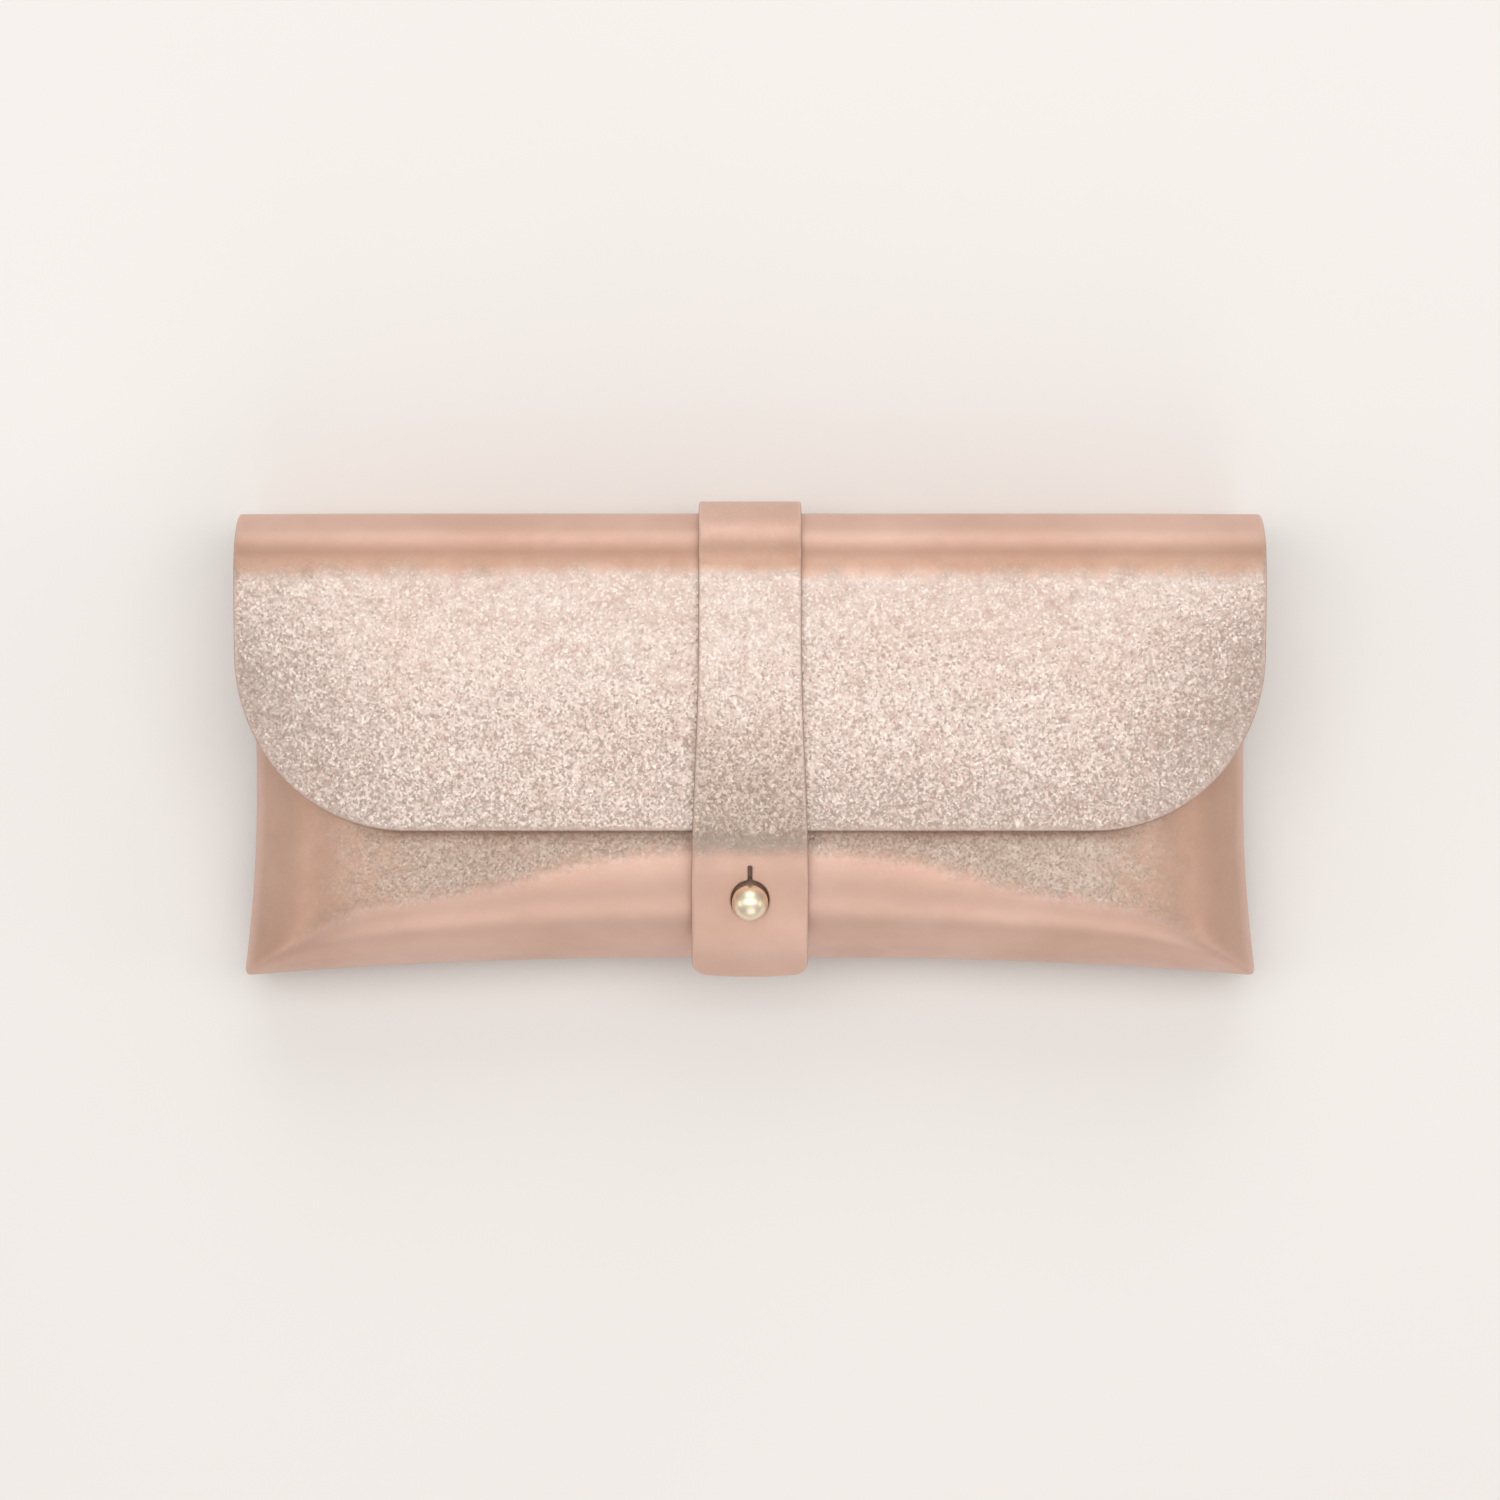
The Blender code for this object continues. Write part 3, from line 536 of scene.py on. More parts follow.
# ------------------------------------------------------------------ materials
class Nodes:
    """Short names for building a node tree."""

    def __init__(self, name):
        self.material = bpy.data.materials.new(name)
        self.material.use_nodes = True
        self.tree = self.material.node_tree

    def add(self, kind, **props):
        node = self.tree.nodes.new(kind)
        for key, value in props.items():
            setattr(node, key, value)
        return node

    def put(self, socket, value):
        if isinstance(value, bpy.types.NodeSocket):
            self.tree.links.new(value, socket)
        else:
            socket.default_value = value

    def math(self, operation, *values, clamp=False):
        node = self.add("ShaderNodeMath", operation=operation, use_clamp=clamp)
        for socket, value in zip(node.inputs, (*values, 0.0)):
            self.put(socket, value)
        return node.outputs[0]

    def plus(self, one, other, **options):
        return self.math("ADD", one, other, **options)

    def minus(self, one, other, **options):
        return self.math("SUBTRACT", one, other, **options)

    def times(self, one, other):
        return self.math("MULTIPLY", one, other)

    def vector(self, operation, *values, scale=None):
        node = self.add("ShaderNodeVectorMath", operation=operation)
        for socket, value in zip(node.inputs, values):
            self.put(socket, value)
        if scale is not None:
            self.put(node.inputs["Scale"], scale)
        return node.outputs[0]

    def attr(self, name, out="Fac"):
        return self.add("ShaderNodeAttribute", attribute_name=name).outputs[out]

    def object_place(self):
        return self.add("ShaderNodeTexCoord").outputs["Object"]

    def noise(self, place, scale, detail=2.0, rough=0.5, colour=False):
        node = self.add("ShaderNodeTexNoise")
        self.put(node.inputs["Vector"], place)
        node.inputs["Scale"].default_value = scale
        node.inputs["Detail"].default_value = detail
        node.inputs["Roughness"].default_value = rough
        return node.outputs[1 if colour else 0]

    def voronoi(self, place, scale, feature="F1", smoothness=None, colour=False):
        node = self.add("ShaderNodeTexVoronoi", feature=feature)
        self.put(node.inputs["Vector"], place)
        node.inputs["Scale"].default_value = scale
        if smoothness is not None:
            node.inputs["Smoothness"].default_value = smoothness
        return node.outputs[1 if colour else 0]

    def channel(self, colour, index=0):
        node = self.add("ShaderNodeSeparateXYZ")
        self.put(node.inputs[0], colour)
        return node.outputs[index]

    def remap(self, value, old, new=(0.0, 1.0)):
        node = self.add("ShaderNodeMapRange")
        for socket, val in zip(node.inputs, (value, *old, *new)):
            self.put(socket, val)
        return node.outputs[0]

    def mix(self, factor, one, other, mode="MIX"):
        node = self.add("ShaderNodeMix", data_type="RGBA", blend_type=mode)
        self.put(node.inputs[0], factor)
        for socket, value in ((node.inputs[6], one), (node.inputs[7], other)):
            self.put(socket, (*value, 1) if isinstance(value, tuple) else value)
        return node.outputs[2]

    def bump(self, height, strength, distance, normal=None):
        node = self.add("ShaderNodeBump")
        self.put(node.inputs["Height"], height)
        self.put(node.inputs["Strength"], strength)
        node.inputs["Distance"].default_value = distance
        if normal is not None:
            self.put(node.inputs["Normal"], normal)
        return node.outputs[0]

    def finish(self, values):
        """Sets the surface's inputs and gives back the material."""
        shader = self.tree.nodes["Principled BSDF"]
        for key, value in values.items():
            self.put(shader.inputs[key], value)
        return self.material


def leather():
    """Rose-gold foiled hide with a fine pebble, which fades on the bends. The pebbled parts are
    coloured paler, partly as painted highlight for the foil's sparkle.
    """
    grained_sheen_light, grained_sheen_mid = (0.598, 0.512, 0.464), (0.552, 0.444, 0.392)
    smooth_light, smooth_deep = (0.708, 0.478, 0.395), (0.636, 0.408, 0.325)
    deep, glint = (0.430, 0.280, 0.220), (0.84, 0.755, 0.70)
    speckle = tuple(c * 1.2 for c in grained_sheen_light)
    painted_shade_tint, worn_edge, core_and_shadow = (0.68, 0.63, 0.56), (0.700, 0.500, 0.420), (0.20, 0.105, 0.06)
    grain_gain, core_and_shadow_gain = 1.0, 1.0
    pebble_scale, fine_scale = 1.15, 2.6

    tree = Nodes("rose_gold_leather")
    times, plus, minus = tree.times, tree.plus, tree.minus
    flat = tree.attr("flat", "Vector")
    # the grain's border wanders in patches
    laid = tree.attr("grain")
    patch = plus(times(tree.noise(flat, scale=0.33), 0.55),
                 times(tree.noise(flat, scale=1.5, rough=0.7), 0.45))
    sway = times(times(laid, minus(1.0, laid)), times(minus(patch, 0.5), 6.0))
    grain = times(plus(laid, sway, clamp=True), grain_gain)
    edge = tree.attr("edge")

    # textures, most of them on a slightly warped place
    warp = tree.noise(flat, scale=0.9, colour=True)
    place = tree.vector("MULTIPLY_ADD", warp, (0.45, 0.45, 0.0), flat)
    pebble = tree.voronoi(place, scale=pebble_scale, feature="SMOOTH_F1", smoothness=0.35)
    fine = tree.voronoi(place, scale=fine_scale, colour=True)
    crease = tree.voronoi(place, scale=pebble_scale, feature="DISTANCE_TO_EDGE")
    cloud = tree.noise(flat, scale=0.035, detail=3.0, rough=0.6)
    mottle = tree.noise(flat, scale=0.35, detail=3.0, rough=0.6)
    speck = tree.noise(place, scale=2.2, rough=0.7)

    # base tone: the pebbled colours are paler than the smooth ones, partly as painted highlight;
    # with darker mottling and creases and paler specks
    drift = tree.remap(cloud, old=(0.35, 0.65))
    base = tree.mix(tree.remap(grain, old=(0.12, 0.7)),
                    tree.mix(drift, smooth_light, smooth_deep),
                    tree.mix(drift, grained_sheen_light, grained_sheen_mid))
    blotch = tree.remap(mottle, old=(0.45, 0.7), new=(0.0, 0.35))
    base = tree.mix(times(blotch, grain), base, deep)
    pit = tree.remap(crease, old=(0.0, 0.16), new=(0.10, 0.0))
    base = tree.mix(times(pit, grain), base, deep)
    speck_amount = tree.remap(speck, old=(0.56, 0.72), new=(0.0, 0.2))
    base = tree.mix(times(speck_amount, grain), base, speckle)
    # dull and glinting cells
    cell = tree.voronoi(place, scale=1.9, colour=True)
    shade = plus(times(tree.channel(cell), 0.55), times(tree.channel(fine, 1), 0.45))
    darkening = tree.remap(shade, old=(0.18, 0.52), new=(0.40, 0.0))
    base = tree.mix(times(darkening, grain), base, deep)
    flakes = tree.channel(tree.voronoi(flat, scale=2.5, colour=True))
    shine = tree.remap(flakes, old=(0.70, 0.92), new=(0.0, 0.5))
    base = tree.mix(times(shine, grain), base, glint)
    # painted shade: the tone attribute darkens the colour where shade falls, at the fold, on the
    # front by the flap and on the strap above the flap's edge
    base = tree.mix(tree.attr("tone"), base, painted_shade_tint, mode="MULTIPLY")
    # cut and turned edges are a little paler and worn
    wear = tree.noise(flat, scale=0.8, detail=3.0)
    wear_and_shadow = times(edge, tree.remap(wear, old=(0.3, 0.7), new=(0.25, 0.85)))
    base = tree.mix(wear_and_shadow, base, worn_edge)
    # the hide's core shows dark on the cut itself, and is drawn dark enough to stand in for the
    # thin shadow along the edges too; the cut attribute adds the keyhole's rim and a painted
    # shadow line below the flap's edge
    core_and_shadow_mask = times(tree.remap(edge, old=(0.88, 1.0), new=(0.0, 0.45)), core_and_shadow_gain)
    core_and_shadow_mask = tree.math("MAXIMUM", core_and_shadow_mask, times(tree.attr("cut"), 0.85))
    base = tree.mix(core_and_shadow_mask, base, core_and_shadow)

    # edges are less metallic and rougher, and grain is a little glossier
    metallic = minus(0.58, times(edge, 0.4), clamp=True)
    rough = plus(tree.remap(mottle, old=(0.3, 0.7), new=(0.40, 0.48)), times(edge, 0.12))
    rough = minus(rough, times(grain, 0.06))

    # loose foil flakes tip the surface a little, each its own way
    normal = tree.add("ShaderNodeNewGeometry").outputs["Normal"]
    tip = tree.vector("SUBTRACT", fine, (0.5, 0.5, 0.5))
    tip = tree.vector("SCALE", tip, scale=times(grain, 0.30))
    normal = tree.vector("NORMALIZE", tree.vector("ADD", normal, tip))
    # pebble, crease and speck relief, then fine unevenness everywhere
    height = plus(times(pebble, -0.6), times(crease, 0.08))
    height = plus(height, times(speck, 0.35))
    normal = tree.bump(height, strength=times(grain, 0.30), distance=0.00012, normal=normal)
    uneven = tree.noise(flat, scale=1.6, detail=4.0, rough=0.6)
    normal = tree.bump(uneven, strength=0.10, distance=0.0001, normal=normal)
    return tree.finish({"Base Color": base, "Metallic": metallic, "Roughness": rough,
                        "Specular IOR Level": 0.5, "Normal": normal})


def suede():
    brown, light = (0.36, 0.235, 0.185), (0.45, 0.30, 0.24)
    tree = Nodes("suede_lining")
    flat = tree.attr("flat", "Vector")
    nap = tree.noise(flat, scale=2.4, detail=5.0, rough=0.75)
    cloud = tree.noise(flat, scale=0.09, detail=3.0, rough=0.6)
    base = tree.mix(tree.remap(cloud, old=(0.35, 0.65)), brown, light)
    base = tree.mix(tree.remap(nap, old=(0.35, 0.7), new=(0.0, 0.5)), base,
                    tuple(c * 0.62 for c in brown))
    return tree.finish({"Base Color": base, "Roughness": 0.93, "Sheen Weight": 0.35,
                        "Sheen Roughness": 0.5,
                        "Normal": tree.bump(nap, strength=0.6, distance=0.00025)})


def sewing_thread():
    """Diagonal bands stand for the thread's twist."""
    dark, light = (0.50, 0.33, 0.26), (0.74, 0.55, 0.46)
    tree = Nodes("sewing_thread")
    wave = tree.add("ShaderNodeTexWave", wave_type="BANDS", bands_direction="DIAGONAL")
    tree.put(wave.inputs["Vector"], tree.object_place())
    wave.inputs["Scale"].default_value = 900.0
    wave.inputs["Distortion"].default_value = 0.6
    twist = wave.outputs[0]
    base = tree.mix(tree.remap(twist, old=(0.0, 1.0)), dark, light)
    return tree.finish({"Base Color": base, "Roughness": 0.6, "Sheen Weight": 0.2,
                        "Normal": tree.bump(twist, strength=0.7, distance=0.00008)})


def pale_gold():
    """Metal with hazy tone and fine scratches stretched along Y."""
    light, deep = (0.93, 0.83, 0.66), (0.88, 0.75, 0.56)
    tree = Nodes("pale_gold")
    place = tree.object_place()
    haze = tree.noise(place, scale=400.0, detail=3.0, rough=0.6)
    stretched = tree.vector("MULTIPLY", place, (9000.0, 600.0, 9000.0))
    scratch = tree.noise(stretched, scale=1.0)
    return tree.finish({"Base Color": tree.mix(tree.remap(haze, old=(0.35, 0.65)), light, deep),
                        "Metallic": 1.0,
                        "Roughness": tree.remap(scratch, old=(0.3, 0.7), new=(0.34, 0.44)),
                        "Normal": tree.bump(scratch, strength=0.05, distance=0.00002)})


def fibre_board():
    dark, light = (0.40, 0.33, 0.25), (0.55, 0.47, 0.37)
    tree = Nodes("fibre_board")
    fibre = tree.noise(tree.object_place(), scale=900.0, detail=4.0, rough=0.7)
    return tree.finish({"Base Color": tree.mix(tree.remap(fibre, old=(0.3, 0.7)), dark, light),
                        "Roughness": 0.9,
                        "Normal": tree.bump(fibre, strength=0.4, distance=0.0001)})


LEATHER = leather()
SUEDE = suede()
THREAD = sewing_thread()
GOLD = pale_gold()
BOARD_MAT = fibre_board()


# ------------------------------------------------------------------ baked transforms and shared rows
def bend_low(ob):
    """Bakes a layer's transform into its mesh."""
    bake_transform(ob)


def bend_top(ob):
    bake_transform(ob)


ARC_ROWS = 1 + np.linspace(0, 1, 13)[1:]
BACK_BEND_ROWS = [1.0, *ARC_ROWS, 2.4, 2.8, 3.0]
LINING_EDGE = [0, 0.02, 0.08, 0.16, 0.3, 0.6, 1.1, 1.8]


# ------------------------------------------------------------------ back
def back_from_edge(side, up, side_end=1.0, low=0.0):
    from_side = half_width(0) * (side_end - np.abs(side))
    from_low = np.where(up <= 1, up * BACK_LEN - low, FAR)
    return np.maximum(np.minimum(from_side, from_low), 0)


def build_back():
    edge = [0, 0.015, 0.06, 0.14, 0.27, 0.45, 0.8, 1.4, 2.4, 3.6]
    # finer over the recess's walls
    xs = ([GRID_HALF - e for e in edge]
          + runs((83.5, 14.0, -1.7), (13.2, 9.6, -0.4), (9.0, 0.1, -1.5)) + [0.0])
    ys = edge + runs((5.0, 28.0, 1.7), (28.4, 33.2, 0.45), (34.5, 69.0, 1.7))
    rows = np.concatenate([np.array(ys) / BACK_LEN, BACK_BEND_ROWS])

    def flat(side, up):
        return side * (GRID_HALF + 0.8 * smooth(up - 1.0)), back_length(up)

    def grain(side, up):
        y = up * BACK_LEN
        pebbled = 0.70 * rise(y, start=0.0, over=12.0) * fall(y, end=BACK_LEN, over=7.0)
        return np.where(up <= 1, pebbled + 0.12, 0.12)

    ob = sheet("back_hide", mirrored(xs) / GRID_HALF, rows, back_xyz, HIDE, 0.45,
               back_from_edge, flat, LEATHER, grain)
    bend_low(ob)
    stands_for(ob, "leather", "back_panel")


def build_back_lining():
    half, low = 86.2, 2.4
    edge = LINING_EDGE[:7]
    xs = ([half - e for e in edge] + runs((84.0, 14.0, -2.0), (13.0, 9.6, -0.6))
          + [8.0, 6, 4, 2, 0.0])
    ys = ([low + e for e in edge]
          + runs((5.0, 28.0, 2.0), (28.4, 33.2, 0.6), (34.5, 69.0, 2.0)))
    rows = np.concatenate([np.array(ys) / BACK_LEN, BACK_BEND_ROWS])
    side_end = half / GRID_HALF
    # it widens and closes up on the spine, to meet the cover's lining
    wider = (FLAP_HALF - 1.0) / FLAP_HALF / side_end - 1
    closer = LINING_DEPTH - FLAP_LINING_DEPTH

    def surface(side, up, depth):
        return back_xyz(side * (1 + wider * rise(up, start=1.3, over=0.7)), up,
                        depth - closer * rise(up, start=1.0, over=0.55))

    ob = sheet("back_suede", mirrored(xs) / GRID_HALF, rows, surface, LINING, 0.25,
               lambda side, up: back_from_edge(side, up, side_end, low),
               lambda side, up: (side * 88.0 + 200, back_length(up)), SUEDE, start=LINING_DEPTH)
    bend_low(ob)
    stands_for(ob, "suede_lining", "back_lining")


# ------------------------------------------------------------------ flap
FLAP_EDGE = [0, 0.02, 0.09, 0.2, 0.38, 0.7, 1.2, 1.9, 2.8, 3.8, 4.9]


def flap_from_edge(x, along, inset):
    """Distance inside the flap's outline, which has no upper edge."""
    y = cover_y(x, along, inset)
    half, low, radius = FLAP_HALF - inset, FLAP_LOW_Y + inset, FLAP_R - inset
    over_x, over_y = np.abs(x) - (half - radius), (low + radius) - y
    corner = radius - np.hypot(np.maximum(over_x, 0), np.maximum(over_y, 0))
    from_side = half - np.abs(x)
    inside = np.minimum(corner, np.minimum(from_side, y - low))
    return np.maximum(np.where(along > 2, inside, from_side), 0)


def flap_flat(x, along, inset):
    cut = BACK_LEN + LOW_ARC + (SPINE_CUT_Z - LOW_R)
    spine = TOP_Z - TOP_R - SPINE_CUT_Z
    cover = cut + spine + TOP_ARC + COVER_Y - cover_y(x, along, inset)
    return x, np.where(along <= 1, cut + along * spine,
                       np.where(along <= 2, cut + spine + (along - 1) * TOP_ARC, cover))


def painted_fold_shade(y, x=0.0):
    """Painted shade: the colour is darker where the hide turns onto the cover, for the dim
    reflection of the fold.
    """
    wander = (0.9 * ripple(x, 0.0, seed=11, size=26.0)
              + 0.5 * ripple(x, 0.0, seed=12, size=9.0))
    return 0.95 * fall(y, end=36.2, over=3.6) * rise(y, start=27.2 + wander, over=3.4)


def build_flap():
    def grain(x, along):
        start = (COVER_Y + 1.4 + 0.8 * ripple(x, 0.0, seed=7, size=30.0)
                 + 0.6 * ripple(x, 0.0, seed=8, size=8.0))
        return 0.04 + 0.96 * fall(flap_y(x, along), end=start, over=6.0)

    cover_rows = runs((1.3, COVER_LEN - 4.6, 1.3))
    rows = np.concatenate([
        [0, 0.35, 0.7, 1.0], ARC_ROWS, 2 + np.array(cover_rows) / COVER_LEN,
        2 + (1 - np.array(FLAP_EDGE[-2::-1]) / COVER_LEN)])

    def flap_sheet(name, inset, thick, edge_r, material, **options):
        half = FLAP_HALF - inset
        columns = [half - e for e in FLAP_EDGE] + runs((half - 6.2, 0.5, -1.5)) + [0.0]
        return sheet(name, mirrored(columns), rows,
                     lambda x, along, depth: flap_xyz(x, along, depth, inset), thick, edge_r,
                     lambda x, along: flap_from_edge(x, along, inset),
                     lambda x, along: flap_flat(x, along, inset), material, **options)

    # painted shade on the flap where it turns onto the cover
    ob = flap_sheet("flap_hide", 0.0, FLAP_HIDE, 0.6, LEATHER, grain=grain,
                    tone=lambda x, along: painted_fold_shade(flap_y(x, along), x))
    bend_top(ob)
    stands_for(ob, "leather", "spine_panel", "flap_panel")

    ob = flap_sheet("flap_suede", 1.0, 0.6, 0.3, SUEDE, start=FLAP_LINING_DEPTH)
    bend_top(ob)
    stands_for(ob, "suede_lining", "spine_lining", "flap_lining")


# ------------------------------------------------------------------ front and stud
# (x, y) of the upper limit of the smooth bevel along the bottom, from the middle out to
# the mitred corner
BEVEL_LINE = [(0.0, -20.0), (14.0, -20.3), (29.0, -21.9), (39.0, -24.8), (49.0, -27.3),
              (59.0, -28.6), (67.0, -29.7), (74.0, -32.6), (80.0, -36.2), (88.5, -41.0)]


def bevel_y(x):
    return np.interp(np.abs(x), *zip(*BEVEL_LINE))


def front_grain(side, up):
    x, y, from_side, *_ = front_parts(side, up, 0.0)
    above = rise(y, start=bevel_y(x) - 1.4, over=5.6)
    inward = 0.06 + 0.94 * rise(from_side, start=8.0, over=27.0)
    return 0.03 + 0.72 * np.minimum(above, inward)


# painted shade: the front is coloured darker above its bevel, where the flap's shade falls, more
# so away from the sides
def painted_front_shade(side, up):
    x, y, from_side, *_ = front_parts(side, up, 0.0)
    return (rise(y, start=bevel_y(x), over=2.0)
            * (0.58 + 0.22 * rise(from_side, start=8.0, over=14.0))
            * rise(from_side, start=1.2, over=2.0))


def painted_flap_edge_shadow(side, up):
    """Painted shadow: a dark line on the front just below the flap's edge, where the flap shades
    it.
    """
    x, y, *_ = front_parts(side, up, 0.0)
    below = FLAP_LOW_Y - y
    line = rise(below, start=-0.9, over=0.6) * (1 - rise(below, start=0.6, over=1.7))
    wear_and_shadow = (0.46 + 0.24 * rise(np.abs(x), start=14.0, over=20.0)
            + 0.10 * ripple(x, 0.0, seed=12, size=14.0))
    return wear_and_shadow * line * (1 - rise(np.abs(x), start=58.0, over=14.0))


def build_front(tool):
    edge = [0, 0.015, 0.06, 0.13, 0.25, 0.42, 0.7, 1.1, 1.6, 2.2, 3.0, 3.9, 4.9]
    mouth = [3.6, 2.4, 1.4, 0.75, 0.42, 0.25, 0.13, 0.06, 0.015, 0]
    xs = [GRID_HALF - e for e in edge] + runs((82.4, 0.5, -1.25)) + [0.0]
    ys = edge + runs((6.0, FRONT_LEN - 5.0, 1.25)) + [FRONT_LEN - e for e in mouth]

    def from_edge(side, up, hem=0.0):
        from_mouth = np.maximum(FRONT_LEN - hem - up * FRONT_LEN, 0)
        from_side = half_width(0) * (1 - np.abs(side))
        return np.minimum(from_side, np.minimum(up * FRONT_LEN, from_mouth))

    def flat(side, up):
        return laid_flat(front_xyz(side, up, np.zeros(side.shape)))

    # the front takes painted shade above its bevel and a painted shadow line below the flap's edge
    ob = sheet("front_hide", mirrored(xs) / GRID_HALF, np.array(ys) / FRONT_LEN, front_xyz,
               HIDE, 0.4, from_edge, flat, LEATHER, front_grain, tone=painted_front_shade, cut=painted_flap_edge_shadow)
    punch(ob, tool)
    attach(ob, "pocket")
    stands_for(ob, "leather", "front_panel")

    def lining_surface(side, up, depth):
        # near the mouth the lining closes up to the hide
        closer = LINING_DEPTH - (HIDE + CLOSE_GAP)
        return front_xyz(side, up, depth - closer * rise(up, start=0.955, over=0.03))

    hem = 0.8
    xs = [GRID_HALF - e for e in LINING_EDGE] + runs((85.5, 0.5, -1.9)) + [0.0]
    ys = (LINING_EDGE
          + runs((3.0, FRONT_LEN - 6.5, 1.9), (FRONT_LEN - 5.8, FRONT_LEN - 1.0, 0.5))
          + [FRONT_LEN - e for e in (0.95, 0.85, hem)])
    ob = sheet("front_suede", mirrored(xs) / GRID_HALF, np.array(ys) / FRONT_LEN,
               lining_surface, LINING, 0.25, lambda side, up: from_edge(side, up, hem),
               lambda side, up: (side * 90.0, up * 70.0), SUEDE, start=LINING_DEPTH)
    punch(ob, tool)
    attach(ob, "pocket")
    stands_for(ob, "suede_lining", "front_lining")


def stud_place():
    """Where the stud stands on the front, and the front's tilt there."""
    def height(y):
        up = (y - BOTTOM_MID_Y) / (MOUTH_Y - BOTTOM_MID_Y)
        return float(front_xyz(np.array(0.0), np.array(up), np.array(0.0))[2])
    slope = height(STUD_Y + 0.5) - height(STUD_Y - 0.5)
    return Vector((0, STUD_Y, height(STUD_Y))), math.atan(slope)


def lathe_object(name, profile, steps, material, low_tilt, high_tilt):
    """Turns (radius, height) points about the stud's axis. Points over 0.2 take high_tilt."""
    place = Matrix.Translation(STUD_PLACE)
    low, high = (place @ Matrix.Rotation(tilt, 4, "X") for tilt in (low_tilt, high_tilt))
    verts, faces, rings = [], [], []
    for radius, height in profile:
        turn = high if height > 0.2 else low
        count = steps if radius else 1
        rings.append(list(range(len(verts), len(verts) + count)))
        for k in range(count):
            angle = 2 * math.pi * k / steps
            verts.append(turn @ Vector((radius * math.cos(angle), radius * math.sin(angle),
                                        height)))
    for a, b in zip(rings, rings[1:]):
        for k in range(steps):
            j = (k + 1) % steps
            if len(a) == 1:
                faces.append((a[0], b[k], b[j]))
            elif len(b) == 1:
                faces.append((a[k], b[0], a[j]))
            else:
                faces.append((a[k], b[k], b[j], a[j]))
    return make_object(name, verts, faces, material, sharp=40)


def punch(ob, tool):
    modifier = ob.modifiers.new("punch", "BOOLEAN")
    modifier.operation, modifier.solver, modifier.object = "DIFFERENCE", "MANIFOLD", tool
    graph = bpy.context.evaluated_depsgraph_get()
    me = bpy.data.meshes.new_from_object(ob.evaluated_get(graph), preserve_all_data_layers=True,
                                         depsgraph=graph)
    ob.modifiers.clear()
    old = ob.data
    ob.data = me
    me.name = old.name
    bpy.data.meshes.remove(old)


def build_stud():
    ball_z = 4.05
    profile = [(0, ball_z + BALL_R)]
    for i in range(1, 31):
        angle = math.radians(90 - i * 4.75)
        profile.append((BALL_R * math.cos(angle), ball_z + BALL_R * math.sin(angle)))
    neck_z = profile[-1][1]
    # neck, foot and the shank through the hide
    profile += [(1.55, neck_z - 0.10), (1.42, neck_z - 0.25), (1.42, 1.25), (1.5, 1.08),
                (1.75, 0.98), (2.3, 0.93), (2.75, 0.84), (2.95, 0.66), (3.0, 0.45),
                (2.95, 0.25), (2.8, 0.12), (1.6, 0.05), (1.6, -6.0), (1.0, -6.0),
                (1.0, -2.0), (0, -2.0)]
    ob = lathe_object("ball_stud", profile, 72, GOLD, STUD_TILT, STUD_TILT * 0.62)
    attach(ob, "pocket")
    stands_for(ob, "stud_metal", "stud_post")


# ------------------------------------------------------------------ strap
# strip_r and front_r: edge radius of the two runs round the fold, and of the front run;
# start: where the layer begins on the back
Layer = namedtuple("Layer", "name band material inset strip_r front_r start slot tail")
STRAP_LAYERS = [
    Layer("hide", STRAP_OUT, LEATHER, 0.0, 0.5, 0.42, 0.0, "leather", ""),
    Layer("suede", STRAP_IN, SUEDE, 0.35, 0.22, 0.22, 0.4, "suede_lining", "_lining"),
]


def strap_strip(part, layer, start, end, on_back, nodes):
    """A plain run of one layer. The run on the back has a free end."""
    near = EDGE_STEPS * layer.strip_r
    columns = np.concatenate([-1 + near / STRAP_TOP_HALF, np.linspace(-1 + 0.14, 1 - 0.14, 13),
                              1 - near[::-1] / STRAP_TOP_HALF])
    rows = ([*(start + near)] if on_back else [start])
    rows += runs((start + (1.5 if on_back else 0.8), end - 0.4, 0.8)) + [end]
    low, high = layer.band

    def surface(side, along, depth):
        return strap_xyz(side * (strap_half(along) - layer.inset), along, high - depth)

    def from_edge(side, along):
        distance = (strap_half(along) - layer.inset) * (1 - np.abs(side))
        if on_back:
            distance = np.minimum(distance, along - start)
        return np.maximum(distance, 0)

    def grain(side, along):
        return 0.10 + 0.5 * fall(along, end=FLAT_Y - STRAP_END_Y - 3, over=6.0)

    # painted shade on the strap where it turns onto the cover
    def tone(side, along):
        return painted_fold_shade(strap_y(along)) * (along > CUT_AT + 3)

    ob = sheet(f"strap_{part}_{layer.name}", columns, rows, surface, high - low, layer.strip_r,
               from_edge, lambda side, along: (side * 9.0 + 700, along), layer.material, grain,
               tone=tone)
    if on_back:
        bend_low(ob)
    else:
        bend_top(ob)
    stands_for(ob, layer.slot, *(node + layer.tail for node in nodes))


